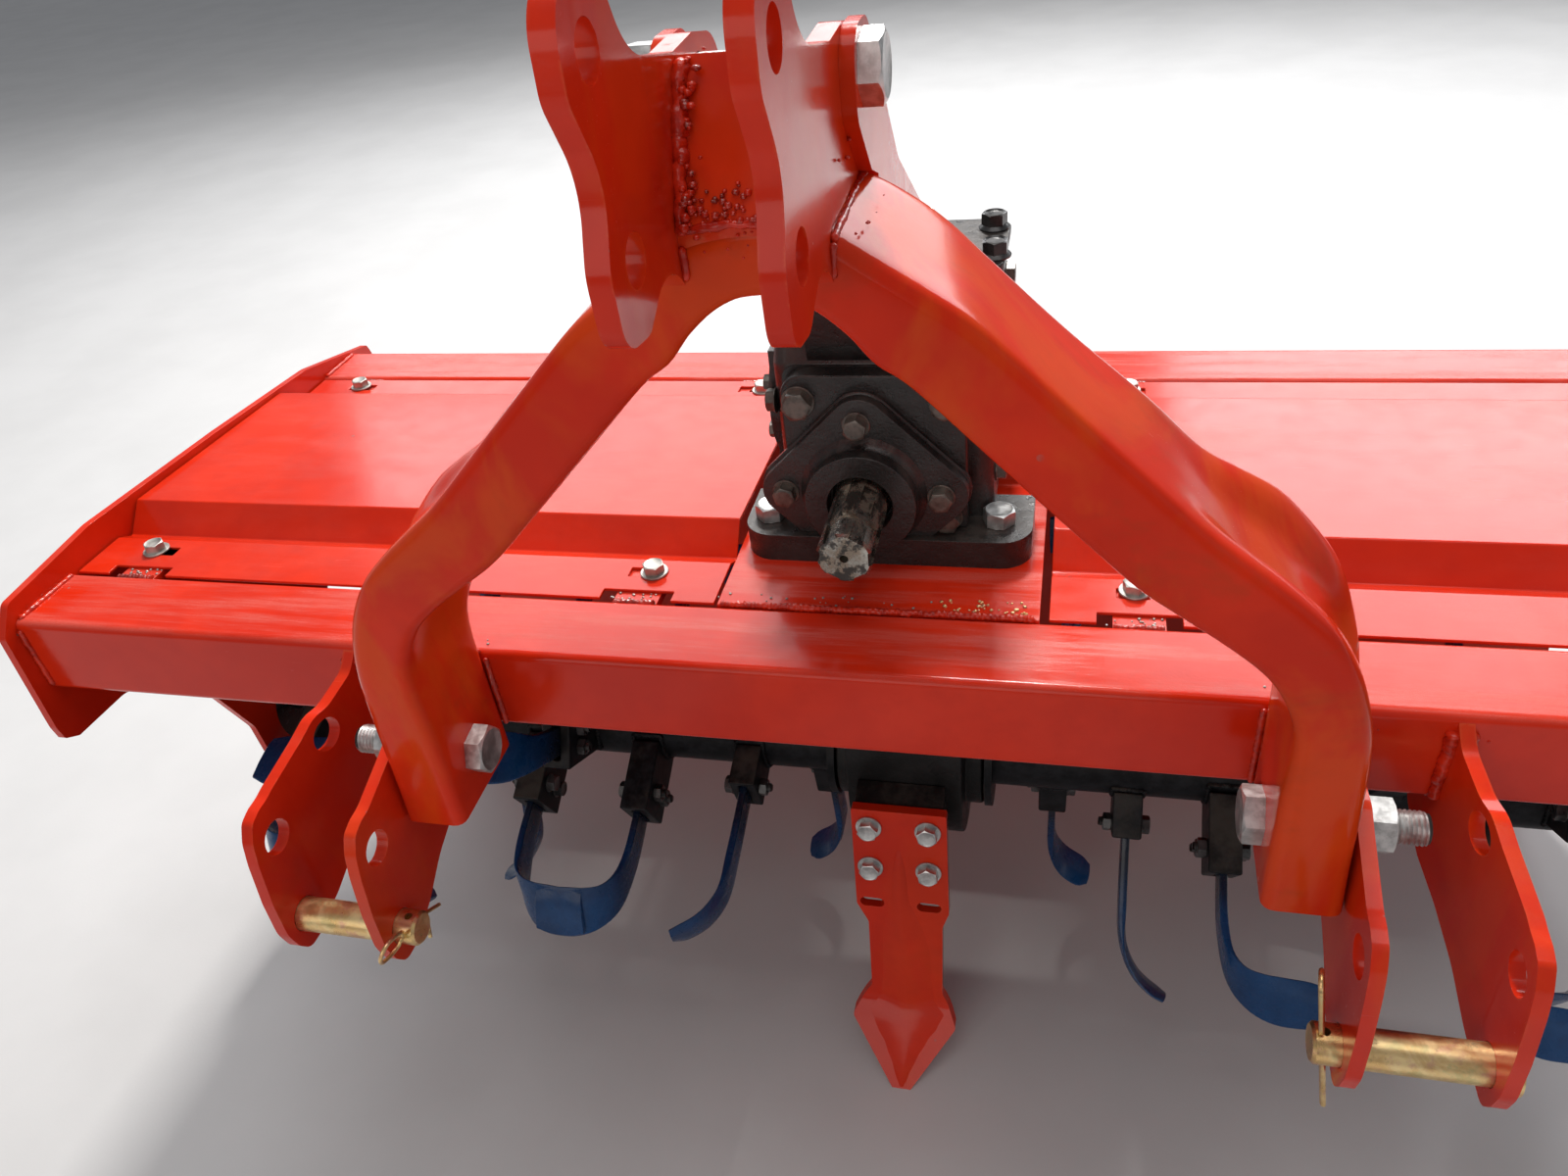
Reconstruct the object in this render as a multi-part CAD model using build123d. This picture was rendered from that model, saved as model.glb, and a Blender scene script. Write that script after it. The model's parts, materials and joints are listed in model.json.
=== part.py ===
from build123d import *
import os
from math import sin, cos, tan, radians, degrees, atan2, pi, hypot

# Centre-drive rotary tiller (rotavator) for a category II three-point hitch.
# Millimetres. The machine is laid out in working coordinates:
#   X across the machine (+X to the right of somebody standing in front of it),
#   Y rearwards, Z up, with (0, 0, 0) on the front beam's front top edge.
# At the end every piece is moved so that the origin is on the ground, under
# the middle of the whole machine's bounding box.

# ---------------------------------------------------------------- dimensions
HALF_W = 775.0          # outer faces of the end plates
END_T = 8.0             # end plate thickness
BEAM = 80.0             # front beam, square tube
BEAM_WALL = 6.0
REAR_Y, REAR_Z, REAR = 528.0, -18.0, 78.0   # rear beam: front face, top face, size
DECK_X0, DECK_X1 = -117.0, 147.0            # centre deck plate
DECK_T = 8.0
SHEET = 3.0             # hood panel sheet
GROUND = -652.0         # level of the ripper's point and of the board's edge

SHAFT_Z = 66.0          # input shaft height
SHAFT_R = 22.2          # 1-3/4 inch splined stub
CASE_X = 12.0           # middle of the gear case, off the shaft's own line
ROTOR_Y, ROTOR_Z = 280.0, -334.0
TUBE_R = 42.0
STUB_R = 20.0

HITCH_X = 5.0           # middle of the mast and of the lower hitch
CLEVIS_X = 401.0        # middle of each lower hitch clevis, from HITCH_X
CLEVIS_GAP = 80.0       # between the clevis plates' inner faces
CLEVIS_T = 10.0
JOGGLE, JOGGLE_Y = 20.0, -124.0  # outer plate's set towards the middle at the beam, and where it starts
PIN_Y, PIN_Z, PIN_R = -149.0, -168.0, 14.0
PIN_HOLE_R = 14.5
FREE_HOLE = (-138.0, -86.0)     # (Y, Z) of the clevis' free hole
ACCESS_HOLE = (-57.0, -50.0)    # (Y, Z) of the outer plate's hole beside the foot bolt's end

MAST_D, MAST_W = 100.0, 52.0    # bent tube: depth (Y), width across the leg
MAST_X = 325.0                  # foot centre, from HITCH_X
KNEE_Z, APEX_Z = 80.0, 397.0    # corners of the centre line
FOOT_Z = -97.0
FOOT_BOLT = (-52.0, -56.0)      # (Y, Z)

TOP_GAP, TOP_T = 66.0, 12.0     # top hitch plates
TOP_HOLE = (-170.0, 478.0)
LOW_HOLE = (-160.0, 387.0)
TOP_R = 12.9                    # 25.4 mm pin

HINGE_Y, HINGE_Z, HINGE_R = 630.0, -60.0, 8.0
ROD_X = 440.0
LUG_Y, LUG_Z = 672.0, -320.0    # spring rod's pin on the board
EYE_Y, EYE_Z = 705.0, -105.0    # spring rod's eye plate: hole and top face

nodes = {}


# ------------------------------------------------------------------- helpers
def face(points):
    """Closed outline from (a, b, corner radius) rows."""
    return make_face(FilletPolyline(*[(a, b) for a, b, r in points],
                                    radius=[r for a, b, r in points], close=True))


def plate_x(points, x0, x1):
    """Outline given as (Y, Z, radius), from x0 to x1."""
    pl = Plane(origin=(x0, 0, 0), x_dir=(0, 1, 0), z_dir=(1, 0, 0))
    return pl * extrude(face(points), x1 - x0)


def plate_y(points, y0, y1):
    """Outline given as (X, Z, radius), from y0 to y1."""
    pl = Plane(origin=(0, y0, 0), x_dir=(1, 0, 0), z_dir=(0, -1, 0))
    return pl * extrude(face(points), -(y1 - y0))


def plate_z(points, z0, z1):
    """Outline given as (X, Y, radius), from z0 to z1."""
    return Pos(0, 0, z0) * extrude(face(points), z1 - z0)


def box(x0, x1, y0, y1, z0, z1):
    return Pos((x0 + x1) / 2, (y0 + y1) / 2, (z0 + z1) / 2) * Box(x1 - x0, y1 - y0, z1 - z0)


def cyl_x(r, x0, x1, y, z):
    return Pos((x0 + x1) / 2, y, z) * Rot(0, 90, 0) * Cylinder(r, abs(x1 - x0))


def cyl_y(r, y0, y1, x, z):
    return Pos(x, (y0 + y1) / 2, z) * Rot(90, 0, 0) * Cylinder(r, abs(y1 - y0))


def cyl_z(r, z0, z1, x, y):
    return Pos(x, y, (z0 + z1) / 2) * Cylinder(r, abs(z1 - z0))


def hex_x(af, x0, x1, y, z, turn=0):
    h = extrude(RegularPolygon(af / 2, 6, major_radius=False), abs(x1 - x0))
    return Pos(min(x0, x1), y, z) * Rot(0, 90, 0) * Rot(0, 0, turn) * h


def mirror_x(s):
    return mirror(s, about=Plane.YZ)


def mirror_hitch(s):
    """Mirror image about the middle plane of the hitch."""
    return Pos(2 * HITCH_X, 0, 0) * mirror_x(s)


def add(name, *solids):
    flat = []
    for s in solids:
        flat += s.solids() if hasattr(s, "solids") else [s]
    nodes[name] = Compound(children=flat) if len(flat) > 1 else flat[0]


# ------------------------------------------------------------------- the frame
INNER = HALF_W - END_T

tube = box(-INNER, INNER, 0, BEAM, -BEAM, 0)
tube = fillet(tube.edges().filter_by(Axis.X), 7)
tube -= box(-INNER, INNER, BEAM_WALL, BEAM - BEAM_WALL, -BEAM + BEAM_WALL, -BEAM_WALL)
# tabs behind the beam, one at each hood panel bolt: (X)
FRONT_TABS = [-698.0, -191.0, 222.0, 698.0]
for x in FRONT_TABS:
    tube += box(x - 20, x + 20, BEAM, 136, -12, -4)
    tube -= cyl_z(5.5, -20, 0, x, 122)
add("front_beam", tube)

rear = box(-INNER, INNER, REAR_Y, REAR_Y + REAR, REAR_Z - REAR, REAR_Z)
rear = fillet(rear.edges().filter_by(Axis.X), 7)
rear -= box(-INNER, INNER, REAR_Y + 5, REAR_Y + REAR - 5, REAR_Z - REAR + 5, REAR_Z - 5)
for x in FRONT_TABS:
    rear += box(x - 32, x + 32, 492, REAR_Y, -30, -22)
    rear -= cyl_z(5.5, -40, 0, x, 506)
add("rear_beam", rear)

# end plate: (Y, Z, corner radius), with its arm down to the rotor bearing
END_OUTLINE = [(-15, -7, 8), (5, 18, 10), (121, 28, 60), (323, 19, 60), (503, 7, 60),
               (636, -22, 6), (642, -36, 6), (600, -125, 60), (420, -205, 60),
               (352, -300, 40), (372, -426, 80), (192, -426, 84), (186, -305, 30),
               (150, -215, 60), (66, -140, 30), (-4, -137, 4), (-18, -128, 5), (-20, -112, 20)]
end = plate_x(END_OUTLINE, INNER, HALF_W)
end -= cyl_x(58, INNER - 1, HALF_W + 1, ROTOR_Y, ROTOR_Z)
for a in range(45, 405, 90):
    end -= cyl_x(6.5, INNER - 1, HALF_W + 1, ROTOR_Y + 70 * cos(radians(a)), ROTOR_Z + 70 * sin(radians(a)))
add("end_plate_right", end)
add("end_plate_left", mirror_x(end))

# bearing housing outside each end plate
hub = cyl_x(82, HALF_W, HALF_W + 12, ROTOR_Y, ROTOR_Z) + cyl_x(52, HALF_W, HALF_W + 40, ROTOR_Y, ROTOR_Z)
hub = fillet(hub.edges().filter_by(GeomType.CIRCLE).group_by(Axis.X)[-1], 5)
hub -= cyl_x(STUB_R + 0.05, HALF_W - 1, HALF_W + 34, ROTOR_Y, ROTOR_Z)
for a in range(45, 405, 90):
    hub -= cyl_x(6.5, HALF_W - 1, HALF_W + 13, ROTOR_Y + 70 * cos(radians(a)), ROTOR_Z + 70 * sin(radians(a)))
add("rotor_bearing_right", hub)
add("rotor_bearing_left", mirror_x(hub))

# centre deck plate: flat under the gearbox, then down to the rear beam's top
DECK = [(BEAM, 0, 0), (400, 0, 200), (REAR_Y, REAR_Z, 0), (REAR_Y, REAR_Z - DECK_T, 0),
        (400, -DECK_T, 200), (BEAM, -DECK_T, 0)]
deck = plate_x(DECK, DECK_X0, DECK_X1)
deck -= box(CASE_X - 66, CASE_X + 66, 185, 375, -20, 5)
add("centre_deck_plate", deck)

# hood panels: a raised pan between two bolting flanges, (Y, top of sheet Z)
PAN = [(83, -1), (141, -1), (157, -9), (183, 18), (440, 7), (489, -19), (526, -19)]
up = [(y, z, 3) for y, z in PAN]
down = [(y, z - SHEET, 3) for y, z in reversed(PAN)]
up[0] = (up[0][0], up[0][1], 0); up[-1] = (up[-1][0], up[-1][1], 0)
down[0] = (down[0][0], down[0][1], 0); down[-1] = (down[-1][0], down[-1][1], 0)
for name, x0, x1 in (("hood_panel_left", -INNER + 2, DECK_X0 - 3), ("hood_panel_right", DECK_X1 + 7, INNER - 2)):
    pan = plate_x(up + down, x0, x1)
    for x in FRONT_TABS:
        if x0 < x < x1:
            pan -= box(x - 32, x + 32, 80, 96, -10, 5)
            pan -= box(x - 17, x + 17, 115.5, 128.5, -10, 5)
            pan -= box(x - 17, x + 17, 499.5, 512.5, -30, -10)
    add(name, pan)

# -------------------------------------------------------------- lower hitch
# clevis plate outline (Y, Z, corner radius); welded to the beam's face and underside
CLEVIS = [(0, -6, 0), (-12, -20, 20), (-45, -29, 30), (-62, -27, 25), (-81, -35, 60), (-129, -51, 30), (-142, -52, 20),
          (-153, -56, 10), (-161, -70, 30), (-166, -90, 60), (-172, -129, 80), (-174, -165, 40), (-169, -185, 20), (-160, -199, 12),
          (-140, -199, 20), (-111, -186, 60), (-77, -163, 80), (-38, -147, 80), (42, -127, 30), (60, -116, 12), (66, -BEAM, 0),
          (0, -BEAM, 0)]
for side, sgn in (("right", 1), ("left", -1)):
    pair = []
    for d0 in (CLEVIS_X - CLEVIS_GAP / 2 - CLEVIS_T, CLEVIS_X + CLEVIS_GAP / 2):
        x0, x1 = HITCH_X + d0, HITCH_X + d0 + CLEVIS_T
        if pair:
            # the outer plate bends towards the middle on its way to the beam
            bent = plate_z([(x0, -260, 0), (x0, JOGGLE_Y, 60), (x0 - JOGGLE, 0, 60), (x0 - JOGGLE, 90, 0), (x1 - JOGGLE, 90, 0),
                            (x1 - JOGGLE, 0, 60), (x1, JOGGLE_Y, 60), (x1, -260, 0)], -260, 60)
            p = plate_x(CLEVIS, x0 - JOGGLE - 5, x1 + 5) & bent
            p = p.solids().sort_by(SortBy.VOLUME)[-1]
        else:
            p = plate_x(CLEVIS, x0, x1)
        p -= cyl_x(PIN_HOLE_R, x0 - 1, x0 + CLEVIS_T + 1, PIN_Y, PIN_Z)
        if pair:
            p -= cyl_x(14.5, x0 - JOGGLE - 6, x0 + CLEVIS_T + 1, ACCESS_HOLE[0], ACCESS_HOLE[1])
        else:
            p -= cyl_x(12.7, x0 - 1, x0 + CLEVIS_T + 1, FOOT_BOLT[0], FOOT_BOLT[1])
        p -= cyl_x(14.5, x0 - 1, x0 + CLEVIS_T + 1, FREE_HOLE[0], FREE_HOLE[1])
        pair.append(p)
    if sgn < 0:
        pair = [mirror_hitch(p) for p in pair]
    add("lower_hitch_plates_" + side, *pair)
    # hitch pin: small collar outside, clip hole near its inner end
    xo = HITCH_X + CLEVIS_X + CLEVIS_GAP / 2 + CLEVIS_T
    xi = HITCH_X + CLEVIS_X - CLEVIS_GAP / 2 - CLEVIS_T - 18
    pin = cyl_x(PIN_R, xi, xo + 1, PIN_Y, PIN_Z) + cyl_x(18, xo + 1, xo + 6, PIN_Y, PIN_Z)
    pin = chamfer(pin.edges().filter_by(GeomType.CIRCLE).group_by(Axis.X)[0], 2)
    pin -= cyl_z(3.2, PIN_Z - 20, PIN_Z + 20, xi + 8, PIN_Y)
    add("hitch_pin_" + side, pin if sgn > 0 else mirror_hitch(pin))

# --------------------------------------------------------------------- mast
# one bent rectangular tube, its rear face against the beam; centre line (X, Z, bend radius)
path = FilletPolyline((HITCH_X - MAST_X, FOOT_Z), (HITCH_X - MAST_X, KNEE_Z), (HITCH_X, APEX_Z),
                      (HITCH_X + MAST_X, KNEE_Z), (HITCH_X + MAST_X, FOOT_Z), radius=[88, 100, 88])
path_y = Plane(origin=(0, -MAST_D / 2, 0), x_dir=(1, 0, 0), z_dir=(0, -1, 0)) * path
sec_pl = Plane(origin=(HITCH_X - MAST_X, -MAST_D / 2, FOOT_Z), x_dir=(1, 0, 0), z_dir=(0, 0, 1))
mast = sweep(sec_pl * RectangleRounded(MAST_W, MAST_D, 8), path=path_y, transition=Transition.ROUND)
inner = sweep(sec_pl * Rectangle(MAST_W - 10, MAST_D - 10), path=path_y, transition=Transition.ROUND)
mast -= inner
mast -= cyl_x(12.7, -500, 500, FOOT_BOLT[0], FOOT_BOLT[1])
add("mast_tube", mast)

# foot bolts: head on the inner side, nut in the clevis gap
for side, sgn in (("right", 1), ("left", -1)):
    a = HITCH_X + MAST_X - MAST_W / 2
    b = HITCH_X + CLEVIS_X - CLEVIS_GAP / 2
    parts = (cyl_x(12, a - 2, b + 42, *FOOT_BOLT) + hex_x(36, a - 18, a - 3, *FOOT_BOLT) + hex_x(36, b + 3, b + 22, *FOOT_BOLT)
             + cyl_x(22, a - 3, a, *FOOT_BOLT) + cyl_x(22, b, b + 3, *FOOT_BOLT))
    add("mast_foot_bolt_" + side, parts if sgn > 0 else mirror_hitch(parts))

# top hitch plates: (Y, Z, corner radius)
TOP_PLATE = [(-197, 506, 24), (-199, 465, 18), (-178, 428, 40), (-192, 392, 30), (-190, 354, 16), (-158, 350, 16),
             (-118, 374, 30), (-98, 348, 6), (-10, 348, 6), (-4, 384, 0), (14, 396, 12), (14, 449, 24), (-30, 457, 20),
             (-66, 455, 20), (-126, 466, 40), (-146, 508, 22)]
UPPER_BOLT = (-25.0, 434.0)
for side, sgn in (("right", 1), ("left", -1)):
    p = plate_x(TOP_PLATE, TOP_GAP / 2, TOP_GAP / 2 + TOP_T)
    if sgn < 0:
        p = mirror_x(p)
    p -= cyl_x(TOP_R, -60, 60, *TOP_HOLE)
    p -= cyl_x(TOP_R, -60, 60, *LOW_HOLE)
    p -= cyl_x(12.5, -60, 60, *UPPER_BOLT)
    p -= nodes["mast_tube"]
    add("top_hitch_plate_" + side, p.solids().sort_by(SortBy.VOLUME)[-1])

# web between the top hitch plates, leaning back from the tube's front top edge
web = plate_x([(-112, 360, 0), (-62, 453, 0), (-52.3, 447.8, 0), (-102.3, 354.8, 0)], -TOP_GAP / 2, TOP_GAP / 2)
web = (web & box(-50, 50, -100, 0, 340, 460)) - nodes["mast_tube"]
add("mast_web", web.solids().sort_by(SortBy.VOLUME)[-1])

# rear stays: flat bars from the top plates back to the gearbox's lug
STAY_END = (170.0, 282.0)
STAY_X = TOP_GAP / 2 + TOP_T
stay = plate_x([(-48, 456, 20), (-6, 456, 20), (80, 358, 60), (184, 294, 10), (192, 268, 10), (158, 256, 14),
                (40, 318, 40), (4, 350, 6), (4, 372, 0), (-16, 380, 0), (-48, 414, 20)], STAY_X, STAY_X + 8)
stay -= cyl_x(12.5, 0, 90, *UPPER_BOLT)
stay -= cyl_x(8.5, 0, 90, *STAY_END)
stays = [(s - nodes["mast_tube"]).solids().sort_by(SortBy.VOLUME)[-1] for s in (stay, mirror_x(stay))]
add("rear_stays", *stays)
add("stay_bolt_upper", cyl_x(12, -76, 68, *UPPER_BOLT) + hex_x(36, 53, 68, *UPPER_BOLT) + hex_x(36, -71, -53, *UPPER_BOLT))
add("stay_bolt_lower", cyl_x(8, -72, 62, *STAY_END) + hex_x(24, 53, 63, *STAY_END) + hex_x(24, -66, -53, *STAY_END))

# ------------------------------------------------------------------ gearbox
FOOT_T = 26.0
feet = plate_z([(-109, 147, 26), (137, 147, 26), (137, 372, 26), (-109, 372, 26)], 0, FOOT_T)
for x0, x1 in ((-120, -76), (92, 150)):
    feet -= box(x0, x1, 222, 300, -1, FOOT_T + 1)
body = plate_x([(186, FOOT_T, 0), (186, 166, 12), (204, 198, 12), (204, 232, 0), (326, 232, 6), (330, FOOT_T, 0)], -76, 104)
body = fillet(body.edges().filter_by(Axis.Z), 14)
feet += body
# lug for the rear stays
feet += plate_x([(190, 162, 0), (204.5, 186, 0), (204.5, 290, 10), (192, 300, 10), (150, 298, 12), (150, 262, 12), (174, 226, 20)], -45, 45)
feet -= cyl_x(8.5, -60, 60, *STAY_END)
for x, y in ((-88, 177), (108, 177), (-88, 344), (108, 344)):
    feet -= cyl_z(8.5, -1, FOOT_T + 1, x, y)
feet -= cyl_y(36, 180, 202, 0, SHAFT_Z)
add("gearbox_housing", feet)

cover = plate_y([(-66, FOOT_T, 4), (84, FOOT_T, 4), (84, 166, 20), (-66, 166, 20)], 168, 186)
cover -= cyl_y(30, 160, 190, 0, SHAFT_Z)
add("gearbox_front_cover", cover)
cap = plate_y([(0, SHAFT_Z - 96, 24), (96, SHAFT_Z, 24), (0, SHAFT_Z + 96, 24), (-96, SHAFT_Z, 24)], 154, 168)
cap -= box(-120, 120, 150, 170, -60, FOOT_T)
cap += cyl_y(46, 134, 154, 0, SHAFT_Z) - box(-120, 120, 120, 170, -60, FOOT_T)
cap -= cyl_y(27, 130, 170, 0, SHAFT_Z)
add("input_bearing_cap", cap)

side = cyl_x(58, -86, -76, 262, 110) + box(-82, -76, 205, 320, 60, 170)
add("gearbox_side_cover", side)
top = box(-84, 110, 197, 304, 232, 240)
top = fillet(top.edges().filter_by(Axis.Z), 16)
top -= box(-46, 46, 190, 205.5, 220, 250)
add("gearbox_top_cover", top)
add("breather", cyl_z(11, 240, 243, 97, 283) + Pos(97, 283, 243) * extrude(RegularPolygon(9, 6, major_radius=False), 12))

# input shaft: six-spline stub with a locking groove and a centre drilling
shaft = cyl_y(SHAFT_R, 60, 136, 0, SHAFT_Z) + cyl_y(22.2, 136, 198, 0, SHAFT_Z)
shaft = chamfer(shaft.edges().filter_by(GeomType.CIRCLE).group_by(Axis.Y)[0], 2)
for k in range(6):
    a = radians(60 * k + 30)
    groove = Pos(0, 96, 0) * Box(11.5, 76, 7)
    shaft -= Pos(0, 0, SHAFT_Z) * Rot(0, -degrees(a), 0) * Pos(0, 0, SHAFT_R) * groove
ring = cyl_y(30, 84, 92, 0, SHAFT_Z) - cyl_y(18.5, 83, 93, 0, SHAFT_Z)
shaft -= ring
shaft -= cyl_y(3.5, 50, 72, 0, SHAFT_Z)
add("input_shaft", shaft)

# drop case from the gearbox down between the two halves of the rotor
case = plate_x([(192, -4, 20), (368, -4, 20), (375, -334, 0), (375, -429, 92), (185, -429, 92), (185, -334, 0)],
               CASE_X - 60, CASE_X + 60)
case = case + cyl_x(64, CASE_X - 78, CASE_X + 78, ROTOR_Y, ROTOR_Z)
case -= cyl_x(22.06, CASE_X - 90, CASE_X + 90, ROTOR_Y, ROTOR_Z)
add("drop_case", case)

# ripper bracket and ripper in front of the drop case
RIP_X = 10.0
bracket = plate_x([(185, -305, 0), (160.8, -316, 2), (147.4, -405, 4), (185, -405, 0)], RIP_X - 46, RIP_X + 46)
add("ripper_bracket", bracket)

# ------------------------------------------------------------------- rotor
rotor_shaft = cyl_x(22, CASE_X - 92, CASE_X + 92, ROTOR_Y, ROTOR_Z)
add("rotor_shaft", rotor_shaft)
HALVES = [("right", 1, CASE_X + 80.0, 742.0), ("left", -1, -(CASE_X - 80.0), 742.0)]
# blades: (distance from the middle, angle from straight down towards the front,
#          1 bent outwards or -1 inwards, kind)
STATIONS = {
    "right": [(163, -12, 1, "slim"), (163, 168, 1, "broad"), (240, 36, 1, "slim"), (240, 216, -1, "broad"),
              (334, 53, 1, "broad"), (334, 233, -1, "slim"), (402, 150, -1, "broad"), (402, 330, 1, "slim"),
              (480, 144, 1, "slim"), (480, 324, -1, "broad"), (562, 56, 1, "broad"), (562, 236, -1, "slim"),
              (640, 118, -1, "slim"), (640, 298, -1, "broad"), (716, 20, -1, "broad"), (716, 200, -1, "slim")],
    "left": [(91, -12, 1, "slim"), (91, 168, 1, "slim"), (169, 70, 1, "slim"), (169, 250, 1, "broad"),
             (290, 62, 1, "broad"), (290, 242, -1, "slim"), (420, 62, -1, "broad"), (420, 242, 1, "slim"),
             (368, 118, 1, "broad"), (368, 298, -1, "slim"), (480, 10, 1, "slim"), (480, 190, -1, "broad"),
             (556, 112, 1, "broad"), (556, 292, -1, "slim"), (636, 30, -1, "slim"), (636, 210, -1, "broad"),
             (716, 75, -1, "broad"), (716, 255, -1, "slim")],
}
# blade strip: (sideways, radius, trailing offset, twist in degrees, half width)
BLADE_T = 8.0
STRIP = {
    "broad": [(0, 62, 0, 0, 17), (0, 110, 0, 0, 17), (0, 150, 2, -4, 18), (2, 176, 4, -10, 20), (7, 198, 8, -22, 24), (18, 215, 11, -34, 27),
              (34, 226, 14, -44, 29), (52, 231, 16, -49, 30), (72, 232, 17, -51, 29), (92, 232, 18, -52, 27)],
    "slim": [(0, 62, 0, 0, 16), (0, 110, 0, 0, 16), (0, 160, 2, 0, 17), (1, 190, 4, 0, 19), (6, 211, 6, 0, 21), (16, 229, 8, 0, 22),
             (30, 242, 10, 0, 22), (46, 251, 12, 0, 20)],
}
# holder: (half thickness, half width, outer radius)
HOLDER = {"broad": (16, 31, 116), "slim": (15, 28, 84)}


def blade_solid(kind):
    rows = STRIP[kind]
    mid = [Vector(x, -t, -r) for x, r, t, tw, hw in rows]
    sections = []
    for k, (x, r, t, tw, hw) in enumerate(rows):
        run = (mid[min(k + 1, len(mid) - 1)] - mid[max(k - 1, 0)]).normalized()
        wide = Vector(0, -cos(radians(tw)), -sin(radians(tw)))
        thin = run.cross(wide).normalized() * (BLADE_T / 2)
        wide = thin.cross(run).normalized() * hw
        ring = [mid[k] + wide + thin, mid[k] - wide + thin, mid[k] - wide - thin, mid[k] + wide - thin]
        sections.append(make_face(Polyline(*ring, close=True)))
    return loft(sections, ruled=True)


def holder_solid(kind):
    ht, hw, ro = HOLDER[kind]
    h = box(-ht, ht, -hw, hw, -ro, -36) - box(-4.3, 4.3, -22, 22, -ro - 3, -61.8)
    return h - cyl_x(TUBE_R + 0.02, -40, 40, 0, 0)


BL = {(k, o): blade_solid(k) if o > 0 else mirror_x(blade_solid(k)) for k in STRIP for o in (1, -1)}
HO = {k: holder_solid(k) for k in HOLDER}
for side, sgn, xa, xb in HALVES:
    t = cyl_x(TUBE_R, xa + 8, xb, ROTOR_Y, ROTOR_Z) + cyl_x(66, xa, xa + 8, ROTOR_Y, ROTOR_Z)
    t -= cyl_x(TUBE_R - 8, xa + 20, xb - 10, ROTOR_Y, ROTOR_Z)
    t -= cyl_x(22, xa - 1, xa + 12, ROTOR_Y, ROTOR_Z)
    t += cyl_x(STUB_R, xb, HALF_W + 33, ROTOR_Y, ROTOR_Z)
    hold, bld = [], []
    for d, ang, out, kind in STATIONS[side]:
        loc = Pos(d, ROTOR_Y, ROTOR_Z) * Rot(-ang, 0, 0)
        hold.append(loc * HO[kind])
        bld.append(loc * BL[(kind, out)])
    if sgn < 0:
        t = mirror_x(t); hold = [mirror_x(h) for h in hold]; bld = [mirror_x(b) for b in bld]
    add("rotor_tube_" + side, t)
    add("blade_holders_" + side, *hold)
    add("blades_" + side, *bld)

# ------------------------------------------------------------------- ripper
# flat shank bolted to the bracket, then a point bent further forward
RIP_HEAD = (150.0, -313.0)      # (Y, Z) of the front face at the top
RIP_NECK = (112.0, -575.0)      # where the point starts
RIP_TIP = (48.0, GROUND)
RIP_T = 10.0
hy, hz = RIP_HEAD; ny, nz = RIP_NECK; ty, tz = RIP_TIP
side_view = plate_x([(hy, hz, 0), (ny, nz, 30), (ty, tz, 0), (ty + 3, tz, 0), (ny + RIP_T, nz - 5, 36), (hy + RIP_T, hz, 0)],
                    RIP_X - 80, RIP_X + 80)
front_view = plate_y([(RIP_X - 48, hz + 4, 8), (RIP_X + 50, hz + 4, 8), (RIP_X + 52, -443, 10), (RIP_X + 45, -463, 10),
                      (RIP_X + 44, -562, 10), (RIP_X + 60, -596, 4), (RIP_X + 10, tz - 4, 4), (RIP_X - 4, tz - 4, 4),
                      (RIP_X - 56, -594, 4), (RIP_X - 35, -560, 10), (RIP_X - 35, -465, 10), (RIP_X - 47, -440, 10)],
                     0, 300)
ripper = (side_view & front_view).solids().sort_by(SortBy.VOLUME)[-1]
rip_dir = degrees(atan2(hy - ny, hz - nz))
rip_bolts = []
for dx in (-30, 31):
    for d in (22, 75):
        at = Pos(RIP_X + dx, hy - d * sin(radians(rip_dir)), hz - d * cos(radians(rip_dir))) * Rot(-rip_dir, 0, 0)
        ripper -= at * Rot(90, 0, 0) * Cylinder(6.6, 60)
    at = Pos(RIP_X + dx, hy - 125 * sin(radians(rip_dir)), hz - 125 * cos(radians(rip_dir))) * Rot(-rip_dir, 0, 0)
    ripper -= at * Rot(90, 0, 0) * extrude(SlotOverall(26, 12), 30, both=True)
add("ripper", ripper)

# ------------------------------------------------- levelling board and hinge
BOARD_X = 755.0
knuckles = [(-700, -480), (-360, -120), (120, 360), (480, 700)]
lugs = [-740.0, -420.0, -60.0, 60.0, 420.0, 740.0]
lug_pts = [(REAR_Y + REAR, -36, 0), (634, -40, 10), (650, -60, 16), (634, -80, 14), (REAR_Y + REAR, -88, 0)]
hl = []
for x in lugs:
    p = plate_x(lug_pts, x - 5, x + 5) - cyl_x(HINGE_R, x - 6, x + 6, HINGE_Y, HINGE_Z)
    hl.append(p)
add("board_hinge_lugs", *hl)
add("board_hinge_rod", cyl_x(HINGE_R, -752, 752, HINGE_Y, HINGE_Z))
BT = 4.0
board_pts_out = [(634, -94), (648, -200), (646, -340), (592, GROUND + 30), (589, GROUND)]
prof = [(y, z, 0 if i in (0, 4) else (200 if i < 3 else 10)) for i, (y, z) in enumerate(board_pts_out)]
prof += [(y - BT, z, r) for y, z, r in reversed(prof)]
board = plate_x(prof, -BOARD_X, BOARD_X)
for x0, x1 in knuckles:
    board += cyl_x(16, x0, x1, HINGE_Y, HINGE_Z)
    board += box(x0, x1, 630, 638, -98, -70)
board -= cyl_x(HINGE_R + 0.06, -760, 760, HINGE_Y, HINGE_Z)
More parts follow.
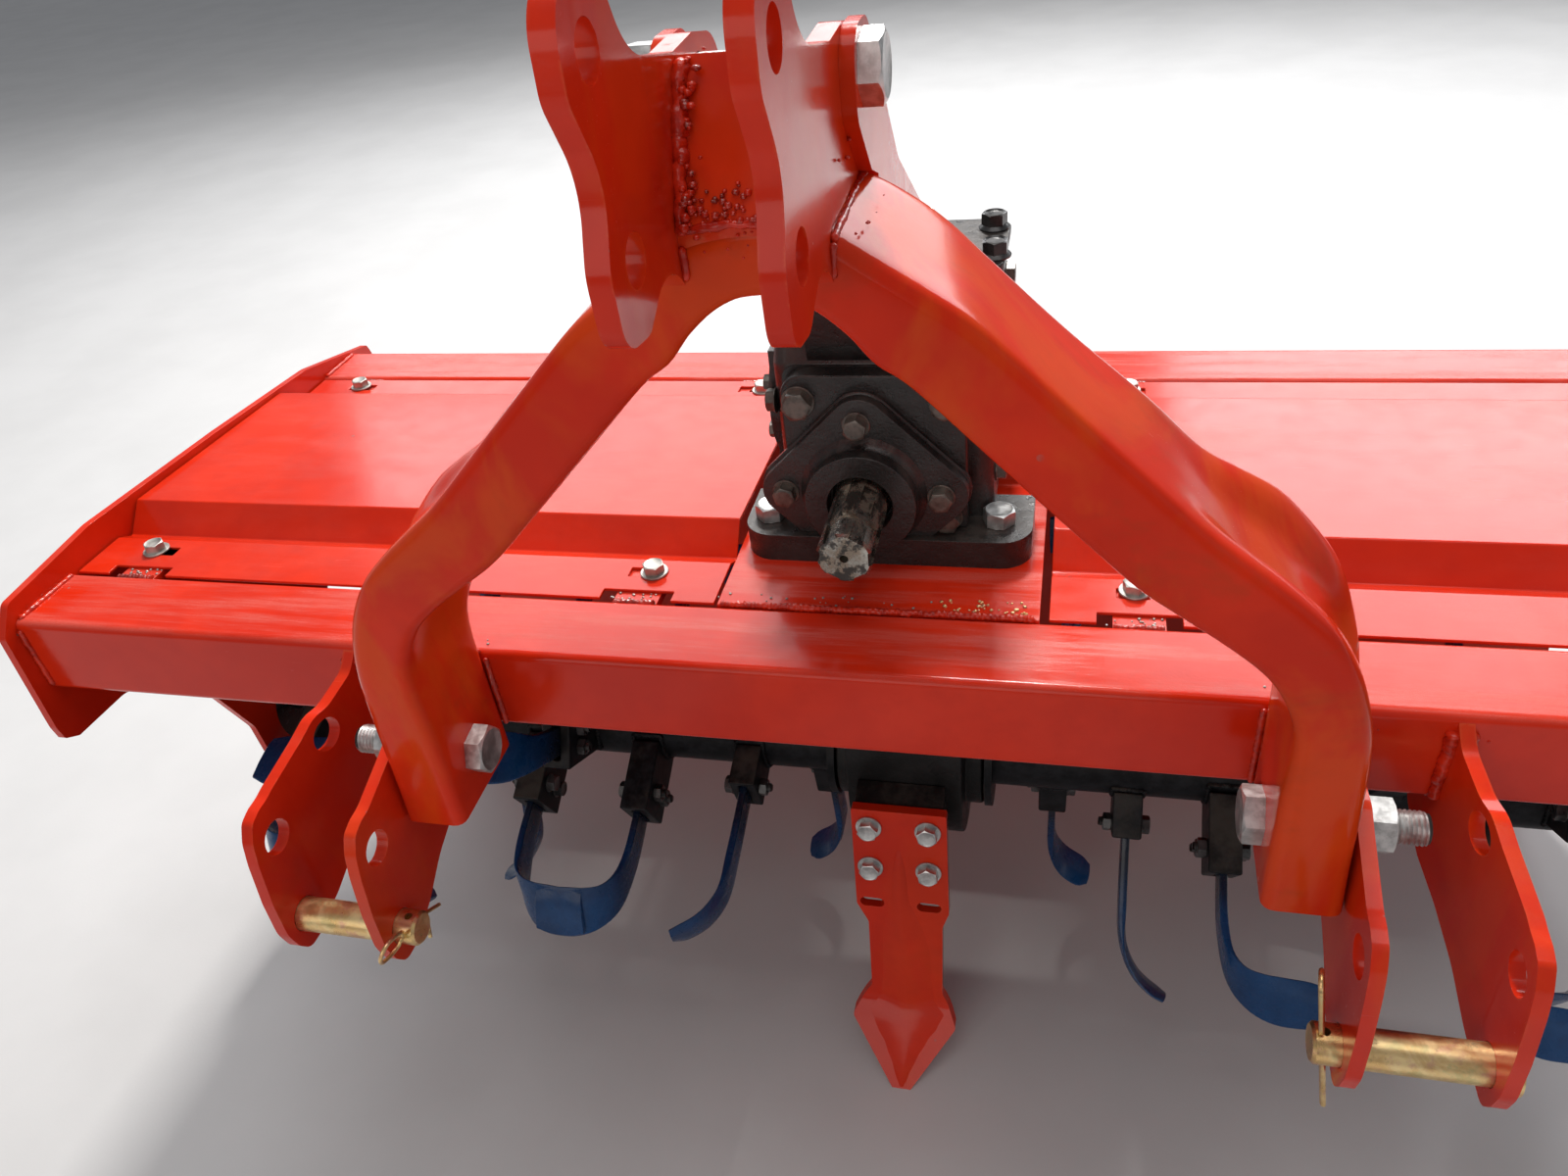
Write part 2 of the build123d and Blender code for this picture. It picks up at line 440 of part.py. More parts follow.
# stiffening lip along the lower edge
board += box(-BOARD_X, BOARD_X, 589, 601, GROUND, GROUND + 40)
add("levelling_board", board)
bl = []
for s in (-1, 1):
    for dx in (-20, 12):
        p = plate_x([(648.5, -270, 0), (688, -302, 10), (690, -336, 12), (648.5, -356, 0)], s * ROD_X + dx, s * ROD_X + dx + 8)
        p -= cyl_x(7.05, s * ROD_X - 30, s * ROD_X + 30, LUG_Y, LUG_Z)
        p -= nodes["levelling_board"]
        bl.append(p)
add("board_rod_lugs", *bl)
add("board_rod_pins", *[cyl_x(7, s * ROD_X - 26, s * ROD_X + 26, LUG_Y, LUG_Z) for s in (-1, 1)])

# spring rods and their brackets on the rear beam
L = hypot(EYE_Y - LUG_Y, EYE_Z - LUG_Z)
rod_ang = degrees(atan2(EYE_Y - LUG_Y, EYE_Z - LUG_Z))
for side, s in (("right", 1), ("left", -1)):
    xr = s * ROD_X
    g = []
    for dx in (-34, 26):
        g.append(plate_x([(606, -24, 0), (664, -49, 20), (742, -92, 6), (742, EYE_Z, 0), (674, EYE_Z, 6), (662, -72, 10),
                          (638, -49, 8), (606, -49, 0)], xr + dx, xr + dx + 8))
    br = g[0] + g[1] + box(xr - 34, xr + 34, 674, 742, EYE_Z - 8, EYE_Z)
    br -= cyl_z(14, EYE_Z - 10, EYE_Z + 10, xr, EYE_Y)
    add("rod_bracket_" + side, br)
    loc = Pos(xr, LUG_Y, LUG_Z) * Rot(-rod_ang, 0, 0)
    low = (Align.CENTER, Align.CENTER, Align.MIN)
    rod = Cylinder(8, L + 30, align=low) + Rot(0, 90, 0) * Cylinder(15, 22)
    rod -= Rot(0, 90, 0) * Cylinder(7.06, 40)
    rod += Pos(0, 0, 40) * Cylinder(19, 5, align=low)
    rod += Pos(0, 0, L + 6) * Cylinder(20, 4, align=low)
    rod += Pos(0, 0, L + 10) * extrude(RegularPolygon(12, 6, major_radius=False), 13)
    add("spring_rod_" + side, loc * rod)
    spring = Pos(0, 0, 45) * (Cylinder(19, 120, align=low) - Cylinder(9, 120, align=low))
    add("pressure_spring_" + side, loc * spring)

# --------------------------------------------------------- place and export
whole = Compound(children=[s for n in nodes.values() for s in n.solids()])
bb = whole.bounding_box()
SHIFT = (-(bb.min.X + bb.max.X) / 2, -(bb.min.Y + bb.max.Y) / 2, -bb.min.Z)
print("shift", [round(v, 3) for v in SHIFT], "size", [round(v, 1) for v in bb.size])
os.makedirs("parts", exist_ok=True)
for name, shape in nodes.items():
    export_step(Pos(*SHIFT) * shape, "parts/" + name + ".step")
print(len(nodes), "nodes")
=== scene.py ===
import bpy
import bmesh
import json
import math
import random
from mathutils import Matrix, Vector, noise

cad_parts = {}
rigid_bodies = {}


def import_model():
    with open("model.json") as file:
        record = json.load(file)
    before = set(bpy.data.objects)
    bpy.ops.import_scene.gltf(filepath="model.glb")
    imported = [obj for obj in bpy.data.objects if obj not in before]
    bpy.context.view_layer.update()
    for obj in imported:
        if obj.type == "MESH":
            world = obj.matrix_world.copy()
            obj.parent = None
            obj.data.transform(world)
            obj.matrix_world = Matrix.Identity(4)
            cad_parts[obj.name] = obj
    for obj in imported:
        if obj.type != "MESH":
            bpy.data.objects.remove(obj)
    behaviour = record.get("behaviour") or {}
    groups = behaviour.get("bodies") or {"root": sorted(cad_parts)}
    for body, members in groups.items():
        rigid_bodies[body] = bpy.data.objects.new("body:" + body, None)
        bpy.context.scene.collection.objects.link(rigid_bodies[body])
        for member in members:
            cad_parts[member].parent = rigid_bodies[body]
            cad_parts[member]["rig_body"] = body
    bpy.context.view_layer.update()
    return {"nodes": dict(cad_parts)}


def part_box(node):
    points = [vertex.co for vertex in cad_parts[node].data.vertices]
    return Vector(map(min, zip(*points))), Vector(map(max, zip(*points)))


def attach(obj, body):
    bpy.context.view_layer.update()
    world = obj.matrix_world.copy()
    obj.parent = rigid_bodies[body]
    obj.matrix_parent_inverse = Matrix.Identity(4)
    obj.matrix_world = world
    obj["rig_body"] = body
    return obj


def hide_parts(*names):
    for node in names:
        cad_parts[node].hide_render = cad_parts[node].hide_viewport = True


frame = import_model()
N = frame["nodes"]
SCENE = bpy.context.scene

# The machine's own working coordinates: X across, Y rearwards, Z up, from the
# front beam's front top edge, in millimetres.
fb_lo, fb_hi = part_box("front_beam")
OX, OY, OZ = 0.0, fb_lo[1], fb_hi[2]


def M(x, y, z):
    return Vector((OX + x / 1000.0, OY + y / 1000.0, OZ + z / 1000.0))


def camera():
    yaw, pitch, roll = 0.295438, 0.629013, 0.131016
    f = Vector((-math.sin(yaw) * math.cos(pitch), math.cos(yaw) * math.cos(pitch), -math.sin(pitch)))
    r = f.cross(Vector((0, 0, 1))).normalized()
    d = f.cross(r)
    r2 = r * math.cos(roll) + d * math.sin(roll)
    d2 = -r * math.sin(roll) + d * math.cos(roll)
    cam = bpy.data.cameras.new("cam")
    cam.sensor_width = 36.0
    cam.lens = 1169.64 / 1600 * 36.0
    cam.clip_start = 0.02
    cam.clip_end = 100
    o = bpy.data.objects.new("cam", cam)
    SCENE.collection.objects.link(o)
    c = M(162.73, -640.0, 568.19)
    o.matrix_world = Matrix(((r2.x, -d2.x, -f.x, c.x), (r2.y, -d2.y, -f.y, c.y), (r2.z, -d2.z, -f.z, c.z), (0, 0, 0, 1)))
    SCENE.camera = o
    return o


cam = camera()

# ---------------------------------------------------------------- node helper


class Graph:
    """A small helper for building a material's node tree."""

    def __init__(self, name):
        self.mat = bpy.data.materials.new(name)
        self.mat.use_nodes = True
        self.t = self.mat.node_tree
        self.b = self.t.nodes["Principled BSDF"]
        self._obj = None

    def node(self, kind, inputs=None, **props):
        n = self.t.nodes.new(kind)
        for k, v in props.items():
            setattr(n, k, v)
        for k, v in (inputs or {}).items():
            self.put(n.inputs[k], v)
        return n

    def put(self, socket, v):
        if isinstance(v, bpy.types.NodeSocket):
            self.t.links.new(v, socket)
        elif isinstance(v, tuple) and len(v) == 3 and socket.type == "RGBA":
            socket.default_value = (*v, 1.0)
        else:
            socket.default_value = v

    def coord(self):
        if self._obj is None:
            self._obj = self.node("ShaderNodeTexCoord").outputs["Object"]
        return self._obj

    def scaled(self, sx, sy, sz, source=None):
        return self.node("ShaderNodeMapping", {0: source or self.coord(), 3: (sx, sy, sz)}).outputs[0]

    def noise(self, scale, detail=3.0, rough=0.55, vec=None, distort=0.0):
        n = self.node("ShaderNodeTexNoise", {"Vector": vec or self.coord(), "Scale": scale, "Detail": detail,
                                             "Roughness": rough, "Distortion": distort})
        return n.outputs[0]

    def voronoi(self, scale, vec=None, feature="F1", rand=1.0):
        n = self.node("ShaderNodeTexVoronoi", {"Vector": vec or self.coord(), "Scale": scale, "Randomness": rand}, feature=feature)
        return n.outputs[0]

    def ramp(self, value, lo, hi, a=0.0, b=1.0):
        n = self.node("ShaderNodeMapRange", {0: value, 1: lo, 2: hi, 3: a, 4: b}, interpolation_type="SMOOTHSTEP")
        return n.outputs[0]

    def lin(self, value, lo, hi, a=0.0, b=1.0):
        return self.node("ShaderNodeMapRange", {0: value, 1: lo, 2: hi, 3: a, 4: b}).outputs[0]

    def math(self, op, a, b=0.0, clamp=False):
        n = self.node("ShaderNodeMath", {0: a, 1: b}, operation=op, use_clamp=clamp)
        return n.outputs[0]

    def mul(self, *v):
        out = v[0]
        for k in v[1:]:
            out = self.math("MULTIPLY", out, k)
        return out

    def mix(self, fac, a, b):
        n = self.node("ShaderNodeMix", data_type="RGBA")
        self.put(n.inputs[0], fac)
        self.put(n.inputs[6], a)
        self.put(n.inputs[7], b)
        return n.outputs[2]

    def mixf(self, fac, a, b):
        n = self.node("ShaderNodeMix", data_type="FLOAT")
        self.put(n.inputs[0], fac)
        self.put(n.inputs[2], a)
        self.put(n.inputs[3], b)
        return n.outputs[0]

    def bump(self, height, distance, strength=1.0, normal=None):
        n = self.node("ShaderNodeBump", {"Height": height, "Distance": distance, "Strength": strength})
        if normal is not None:
            self.put(n.inputs["Normal"], normal)
        return n.outputs[0]

    def up(self):
        """How far the surface faces up, 0 to 1."""
        g = self.node("ShaderNodeNewGeometry")
        s = self.node("ShaderNodeSeparateXYZ", {0: g.outputs["Normal"]})
        return s.outputs[2]

    def xyz(self):
        s = self.node("ShaderNodeSeparateXYZ", {0: self.coord()})
        return s.outputs

    def edges(self, radius, lo=0.03, hi=0.3):
        """1 on convex and concave edges, 0 on flat faces."""
        bev = self.node("ShaderNodeBevel", {"Radius": radius}, samples=4).outputs[0]
        g = self.node("ShaderNodeNewGeometry").outputs["Normal"]
        d = self.node("ShaderNodeVectorMath", {0: bev, 1: g}, operation="DOT_PRODUCT").outputs["Value"]
        return self.ramp(self.math("SUBTRACT", 1.0, d), lo, hi)

    def set(self, **kw):
        names = {"color": "Base Color", "rough": "Roughness", "metal": "Metallic", "normal": "Normal", "coat": "Coat Weight",
                 "coat_rough": "Coat Roughness", "coat_normal": "Coat Normal", "spec": "Specular IOR Level", "ior": "IOR",
                 "aniso": "Anisotropic"}
        for k, v in kw.items():
            self.put(self.b.inputs[names[k]], v)
        return self.mat


# ------------------------------------------------------------------ materials
def red_enamel(name, dry_and_sheen=0.0, orange=0.0, wave=0.35, wear_and_edge_highlight=1.0, chips=1.0, drips=0.0):
    """Glossy orange-red enamel. The dry strength sets a matt overspray film with a painted pinkish sheen on faces that
    look up; orange: thin orange patches.
    """
    g = Graph(name)
    broad = g.noise(5.0, 4.0, 0.6)
    mott = g.noise(38.0, 5.0, 0.6)
    fine = g.noise(420.0, 2.0, 0.5)
    grain = g.noise(1500.0, 1.0, 0.5)
    up = g.up()
    col = g.mix(g.ramp(broad, 0.35, 0.68), (0.56, 0.0190, 0.0040), (0.70, 0.0300, 0.0060))
    col = g.mix(g.mul(g.ramp(mott, 0.42, 0.75), 0.30), col, (0.50, 0.0160, 0.0040))
    if orange:
        patch = g.ramp(g.noise(8.0, 5.0, 0.62, g.scaled(1.0, 1.0, 0.5), 0.6), 0.47, 0.60)
        col = g.mix(g.mul(patch, orange), col, (0.66, 0.088, 0.007))
        brown = g.ramp(g.noise(12.0, 5.0, 0.65, g.scaled(0.7, 1.0, 0.9), 0.5), 0.55, 0.68)
        col = g.mix(g.mul(brown, orange * 0.7), col, (0.33, 0.045, 0.010))
    # dusty film and overspray grain on faces that look up, together with a painted pinkish sheen in the same colour
    facing = g.ramp(up, 0.35, 0.95)
    cloud = g.ramp(g.noise(11.0, 6.0, 0.68, g.scaled(0.45, 1.6, 1.0) if dry_and_sheen < 0.9 else g.scaled(0.28, 3.6, 1.0)), 0.42, 0.66)
    speck = g.ramp(grain, 0.40, 0.72)
    dust_and_sheen = g.mul(facing, cloud, g.lin(speck, 0, 1, 0.45, 1.0), 0.10 + dry_and_sheen * 0.70)
    col = g.mix(dust_and_sheen, col, (0.60, 0.135, 0.105))
    # worn edges with thin paint, and a painted highlight along the edges
    e = g.edges(0.0035, 0.05, 0.30)
    worn_and_highlight = g.mul(e, g.ramp(g.noise(55.0, 5.0, 0.7), 0.47, 0.62), wear_and_edge_highlight)
    col = g.mix(g.mul(worn_and_highlight, 0.55), col, (0.62, 0.10, 0.035))
    chip = g.mul(e, g.ramp(g.noise(75.0, 6.0, 0.75, g.scaled(1, 1, 1.3)), 0.655, 0.685), wear_and_edge_highlight * chips)
    spot = g.mul(g.ramp(g.voronoi(26.0), 0.075, 0.055), g.ramp(g.noise(7.0, 2.0), 0.60, 0.63), chips)
    bare = g.math("MAXIMUM", chip, spot, True)
    col = g.mix(bare, col, g.mix(mott, (0.10, 0.085, 0.075), (0.26, 0.235, 0.215)))
    # fine scratches in the gloss
    scr = g.ramp(g.noise(60.0, 2.0, 0.5, g.scaled(0.35, 9.0, 9.0), 1.2), 0.70, 0.74)
    scr = g.mul(scr, g.ramp(g.noise(4.0, 3.0), 0.5, 0.66))
    rough = g.mixf(dust_and_sheen, g.lin(mott, 0.3, 0.8, 0.13, 0.24), 0.50)
    rough = g.mixf(bare, rough, 0.62)
    rough = g.mixf(g.mul(scr, 0.6), rough, 0.42)
    height = g.math("ADD", g.mul(fine, 0.5), g.mul(g.noise(16.0, 2.0), wave * 6.0))
    height = g.math("ADD", height, g.mul(dust_and_sheen, grain, 1.5))
    height = g.math("SUBTRACT", height, g.mul(bare, 1.2))
    if drips:
        run = g.ramp(g.noise(26.0, 2.0, 0.5, g.scaled(1.0, 1.0, 0.16), 0.5), 0.60, 0.74)
        height = g.math("ADD", height, g.mul(run, drips * 5.0))
    nrm = g.bump(height, 0.00011)
    return g.set(color=col, rough=rough, normal=nrm, coat=0.10 - 0.06 * (dry_and_sheen < 0.07), coat_rough=0.06, spec=0.20 - 0.07 * (dry_and_sheen < 0.07), coat_normal=g.bump(g.math("ADD", g.mul(g.noise(16.0, 2.0), wave * 6.0), g.mul(fine, 0.35)), 0.00009), ior=1.5)


def weld_red(name):
    """Paint over a weld: lumpy, thin, with dark burnt places and bare spatter."""
    g = Graph(name)
    n1 = g.noise(60.0, 5.0, 0.65)
    n2 = g.noise(260.0, 4.0, 0.6)
    col = g.mix(g.ramp(n1, 0.38, 0.66), (0.20, 0.014, 0.007), (0.55, 0.030, 0.012))
    dark = g.ramp(g.noise(120.0, 5.0, 0.7), 0.57, 0.66)
    col = g.mix(g.mul(dark, 0.85), col, (0.035, 0.018, 0.013))
    rough = g.lin(n2, 0.3, 0.8, 0.10, 0.42)
    h = g.math("ADD", g.mul(n1, 3.0), n2)
    return g.set(color=col, rough=rough, normal=g.bump(h, 0.0006), coat=0.5, coat_rough=0.10)


def weld_soft(name):
    """A painted-over bead: the same red, a little uneven, with a few pores."""
    g = Graph(name)
    n1 = g.noise(70.0, 4.0, 0.6)
    n2 = g.noise(300.0, 3.0, 0.6)
    col = g.mix(g.ramp(n1, 0.36, 0.66), (0.40, 0.016, 0.006), (0.64, 0.030, 0.008))
    pore = g.ramp(g.noise(150.0, 4.0, 0.7), 0.62, 0.68)
    col = g.mix(g.mul(pore, 0.7), col, (0.06, 0.012, 0.008))
    return g.set(color=col, rough=g.lin(n2, 0.3, 0.8, 0.16, 0.34), normal=g.bump(g.math("ADD", g.mul(n1, 2.0), n2), 0.0004), coat=0.2, coat_rough=0.1, spec=0.3)


def black_casting(name, rough0=0.30, dust=0.5, tone=(0.011, 0.0095, 0.009), sand=1.0):
    """Black enamel on a sand casting, with oily and dusty places."""
    g = Graph(name)
    big = g.noise(14.0, 5.0, 0.65)
    mid = g.noise(90.0, 5.0, 0.65)
    fine = g.noise(520.0, 3.0, 0.6)
    up = g.up()
    col = g.mix(g.ramp(big, 0.36, 0.68), tone, tuple(min(1.0, c * 2.1 + 0.004) for c in tone))
    settle = g.mul(g.ramp(up, -0.1, 0.85), g.ramp(g.math("ADD", g.mul(big, 0.6), g.mul(mid, 0.4)), 0.44, 0.60), dust)
    col = g.mix(g.mul(settle, 0.55), col, (0.115, 0.090, 0.070))
    e = g.edges(0.003, 0.06, 0.32)
    rub = g.mul(e, g.ramp(g.noise(70.0, 5.0, 0.7), 0.50, 0.63))
    col = g.mix(g.mul(rub, 0.55), col, (0.14, 0.125, 0.11))
    rust = g.mul(g.ramp(g.noise(33.0, 6.0, 0.72), 0.64, 0.74), 0.4)
    col = g.mix(rust, col, (0.085, 0.040, 0.020))
    rough = g.lin(mid, 0.3, 0.75, rough0 - 0.08, rough0 + 0.16)
    rough = g.mixf(settle, rough, 0.62)
    oil = g.ramp(g.noise(9.0, 4.0, 0.6), 0.56, 0.66)
    rough = g.mixf(g.mul(oil, 0.8), rough, 0.13)
    h = g.math("ADD", g.mul(mid, 1.5 * sand), g.mul(fine, 0.9 * sand))
    h = g.math("ADD", h, g.mul(big, 2.0 * sand))
    return g.set(color=col, rough=rough, normal=g.bump(h, 0.00055), coat=0.15 if tone[0] > 0.01 else 0.03, coat_rough=0.15, spec=0.40 if tone[0] > 0.01 else 0.14, ior=1.5)


def satin_black(name, tone=(0.007, 0.007, 0.008), blue=0.0):
    """Thin black paint on rotor parts, scuffed and dusty, with rust at the edges."""
    g = Graph(name)
    big = g.noise(12.0, 5.0, 0.65)
    mid = g.noise(80.0, 5.0, 0.65)
    fine = g.noise(600.0, 2.0, 0.5)
    col = g.mix(g.ramp(mid, 0.35, 0.7), tone, tuple(c * 2.6 for c in tone))
    if blue:
        col = g.mix(g.mul(g.ramp(big, 0.44, 0.60), blue), col, (0.006, 0.035, 0.14))
    dust = g.mul(g.ramp(g.up(), 0.1, 0.9), g.ramp(big, 0.42, 0.62), 0.5)
    col = g.mix(dust, col, (0.10, 0.085, 0.070))
    e = g.edges(0.003, 0.06, 0.32)
    rub = g.mul(e, g.ramp(g.noise(60.0, 5.0, 0.7), 0.52, 0.64))
    col = g.mix(g.mul(rub, 0.7), col, (0.11, 0.085, 0.070))
    rough = g.lin(mid, 0.3, 0.75, 0.30, 0.52)
    rough = g.mixf(dust, rough, 0.7)
    return g.set(color=col, rough=rough, normal=g.bump(g.math("ADD", mid, g.mul(fine, 0.5)), 0.00022), coat=0.02, coat_rough=0.25, spec=0.09)


def blade_blue(name):
    """Thin blue dip paint on forged blades, darker towards the shank; dark scale shows on the edges."""
    g = Graph(name)
    big = g.noise(10.0, 5.0, 0.6)
    mid = g.noise(60.0, 5.0, 0.62)
    fine = g.noise(400.0, 3.0, 0.55)
    col = g.mix(g.ramp(big, 0.34, 0.66), (0.003, 0.028, 0.095), (0.006, 0.055, 0.170))
    col = g.mix(g.mul(g.ramp(mid, 0.52, 0.74), 0.5), col, (0.004, 0.022, 0.085))
    # darker towards the shank, following the per-vertex shade value
    att = g.node("ShaderNodeAttribute", attribute_name="shade").outputs["Fac"]
    col = g.mix(g.math("MULTIPLY", att, g.lin(mid, 0.3, 0.7, 0.80, 1.0), True), col, (0.008, 0.010, 0.016))
    e = g.edges(0.002, 0.06, 0.3)
    rub = g.mul(e, g.ramp(g.noise(45.0, 5.0, 0.7), 0.50, 0.62))
    col = g.mix(g.mul(rub, 0.75), col, (0.060, 0.055, 0.055))
    rough = g.lin(mid, 0.3, 0.75, 0.20, 0.40)
    h = g.math("ADD", g.mul(mid, 1.6), g.mul(fine, 0.5))
    return g.set(color=col, rough=rough, normal=g.bump(h, 0.00035), coat=0.10, coat_rough=0.12, spec=0.28)


def bright_zinc(name, tone=(0.63, 0.63, 0.62), dull=0.0):
    """Bright zinc plate: mottled, slightly rough, with dirt in the hollows."""
    g = Graph(name)
    mott = g.noise(110.0, 5.0, 0.62)
    fine = g.noise(900.0, 2.0, 0.5)
    flat = g.voronoi(70.0)
    col = g.mix(g.ramp(mott, 0.38, 0.66), tuple(c * 0.62 for c in tone), tone)
    col = g.mix(g.mul(g.ramp(flat, 0.2, 0.6), 0.25), col, (0.80, 0.80, 0.78))
    dirt = g.ramp(g.noise(45.0, 6.0, 0.7), 0.57, 0.70)
    col = g.mix(g.mul(dirt, 0.5 + 0.3 * dull), col, (0.16, 0.13, 0.10))
    rough = g.lin(mott, 0.3, 0.75, 0.30 + dull * 0.15, 0.50 + dull * 0.15)
    metal = g.mixf(g.mul(dirt, 0.6), 0.92, 0.25)
    return g.set(color=col, rough=rough, metal=metal, normal=g.bump(g.math("ADD", mott, g.mul(fine, 0.4)), 0.00012))


def yellow_zinc(name):
    """Yellow passivated zinc: gold with pink and green tints and greasy dirt."""
    g = Graph(name)
    a = g.noise(42.0, 5.0, 0.65, None, 0.8)
    b = g.noise(70.0, 4.0, 0.6, g.scaled(1.0, 1.3, 1.1))
    fine = g.noise(700.0, 2.0, 0.5)
    col = g.mix(g.ramp(a, 0.38, 0.64), (0.72, 0.47, 0.20), (0.86, 0.66, 0.34))
    col = g.mix(g.mul(g.ramp(b, 0.52, 0.66), 0.55), col, (0.62, 0.30, 0.24))
    col = g.mix(g.mul(g.ramp(b, 0.46, 0.34), 0.40), col, (0.42, 0.42, 0.20))
    dirt = g.ramp(g.noise(28.0, 6.0, 0.72), 0.56, 0.68)
    col = g.mix(g.mul(dirt, 0.75), col, (0.075, 0.040, 0.022))
    rough = g.lin(a, 0.3, 0.7, 0.24, 0.42)
    rough = g.mixf(dirt, rough, 0.5)
    return g.set(color=col, rough=rough, metal=g.mixf(g.mul(dirt, 0.7), 0.95, 0.2), normal=g.bump(g.math("ADD", a, g.mul(fine, 0.4)), 0.00015))


def shaft_steel(name):
    """Machined steel with a brown preservative film and black smears."""
    g = Graph(name)
    turn = g.noise(30.0, 2.0, 0.5, g.scaled(1.0, 40.0, 1.0))
    a = g.noise(48.0, 6.0, 0.68, g.scaled(1.0, 0.55, 1.0), 0.5)
    fine = g.noise(800.0, 2.0, 0.5)
    col = g.mix(g.ramp(turn, 0.35, 0.7), (0.30, 0.285, 0.26), (0.46, 0.44, 0.40))
    dust_and_sheen = g.ramp(a, 0.36, 0.54)
    col = g.mix(g.mul(dust_and_sheen, 0.75), col, (0.20, 0.150, 0.100))
    y = g.xyz()[1]
    black = g.ramp(g.noise(75.0, 6.0, 0.7, g.scaled(1.0, 0.4, 1.0)), 0.48, 0.56)
    col = g.mix(g.mul(black, 0.92), col, (0.012, 0.010, 0.009))
    rough = g.lin(a, 0.3, 0.7, 0.18, 0.36)
    rough = g.mixf(g.mul(black, 0.8), rough, 0.20)
    metal = g.mixf(g.math("MAXIMUM", g.mul(dust_and_sheen, 0.5), g.mul(black, 0.9)), 1.0, 0.15)
    return g.set(color=col, rough=rough, metal=metal, normal=g.bump(g.math("ADD", g.mul(turn, 0.5), g.math("ADD", a, g.mul(fine, 0.3))), 0.00012))


def phosphate(name, tone=(0.055, 0.048, 0.040)):
    """Bolt heads painted over with the casting: black-brown, oily."""
    g = Graph(name)
    a = g.noise(70.0, 5.0, 0.65)
    b = g.noise(300.0, 3.0, 0.6)
    col = g.mix(g.ramp(a, 0.38, 0.62), tone, tuple(c * 2.4 for c in tone))
    e = g.edges(0.0012, 0.05, 0.3)
    col = g.mix(g.mul(e, g.ramp(b, 0.45, 0.65), 0.6), col, (0.25, 0.21, 0.16))
    return g.set(color=col, rough=g.lin(a, 0.3, 0.7, 0.22, 0.46), metal=0.35, normal=g.bump(g.math("ADD", a, g.mul(b, 0.5)), 0.00018), coat=0.2, coat_rough=0.2)


def studio_floor(name):
    g = Graph(name)
    a = g.noise(3.0, 4.0, 0.6)
    f = g.noise(260.0, 3.0, 0.6)
    col = g.mix(g.ramp(a, 0.3, 0.7), (0.60, 0.60, 0.60), (0.64, 0.64, 0.64))
    return g.set(color=col, rough=g.lin(f, 0.3, 0.7, 0.62, 0.74), normal=g.bump(f, 0.0001))


MAT = {
    "red": red_enamel("red_paint", dry_and_sheen=0.25),
    "red_beam": red_enamel("red_paint_dry_and_sheen", dry_and_sheen=0.95, wear_and_edge_highlight=0.8),
    "red_mast": red_enamel("red_paint_mast", dry_and_sheen=0.05, orange=0.42, wave=0.5, wear_and_edge_highlight=0.9),
    "red_panel": red_enamel("red_paint_panel", dry_and_sheen=0.10, wave=0.18, wear_and_edge_highlight=0.8, chips=0.4),
    "red_plate": red_enamel("red_paint_plate", dry_and_sheen=0.08, orange=0.20, wave=0.45, wear_and_edge_highlight=1.1, drips=0.5),
    "red_ripper": red_enamel("red_paint_ripper", dry_and_sheen=0.30, orange=0.12, wave=1.3, wear_and_edge_highlight=1.1, drips=0.6),
    "weld": weld_red("red_paint_weld"),
    "weld_soft": weld_soft("red_paint_bead"),
    "cast": black_casting("gearbox_black"),
    "case": black_casting("case_black", 0.38, 0.30, (0.007, 0.0065, 0.0065)),
    "rotor": satin_black("rotor_black"),
    "holder": satin_black("holder_black", (0.008, 0.008, 0.009)),
    "blade": blade_blue("blade_blue"),
    "zinc": bright_zinc("bright_zinc"),
    "zinc_dull": bright_zinc("bright_zinc_dull", (0.46, 0.44, 0.40), 1.0),
    "gold": yellow_zinc("yellow_zinc"),
    "shaft": shaft_steel("shaft_steel"),
    "bolt": phosphate("bolt_black"),
    "gasket": phosphate("gasket_black", (0.012, 0.012, 0.012)),
    "plug": phosphate("plug_black", (0.018, 0.017, 0.017)),
    "blade_bolt": phosphate("blade_bolt_dark", (0.032, 0.030, 0.030)),
}

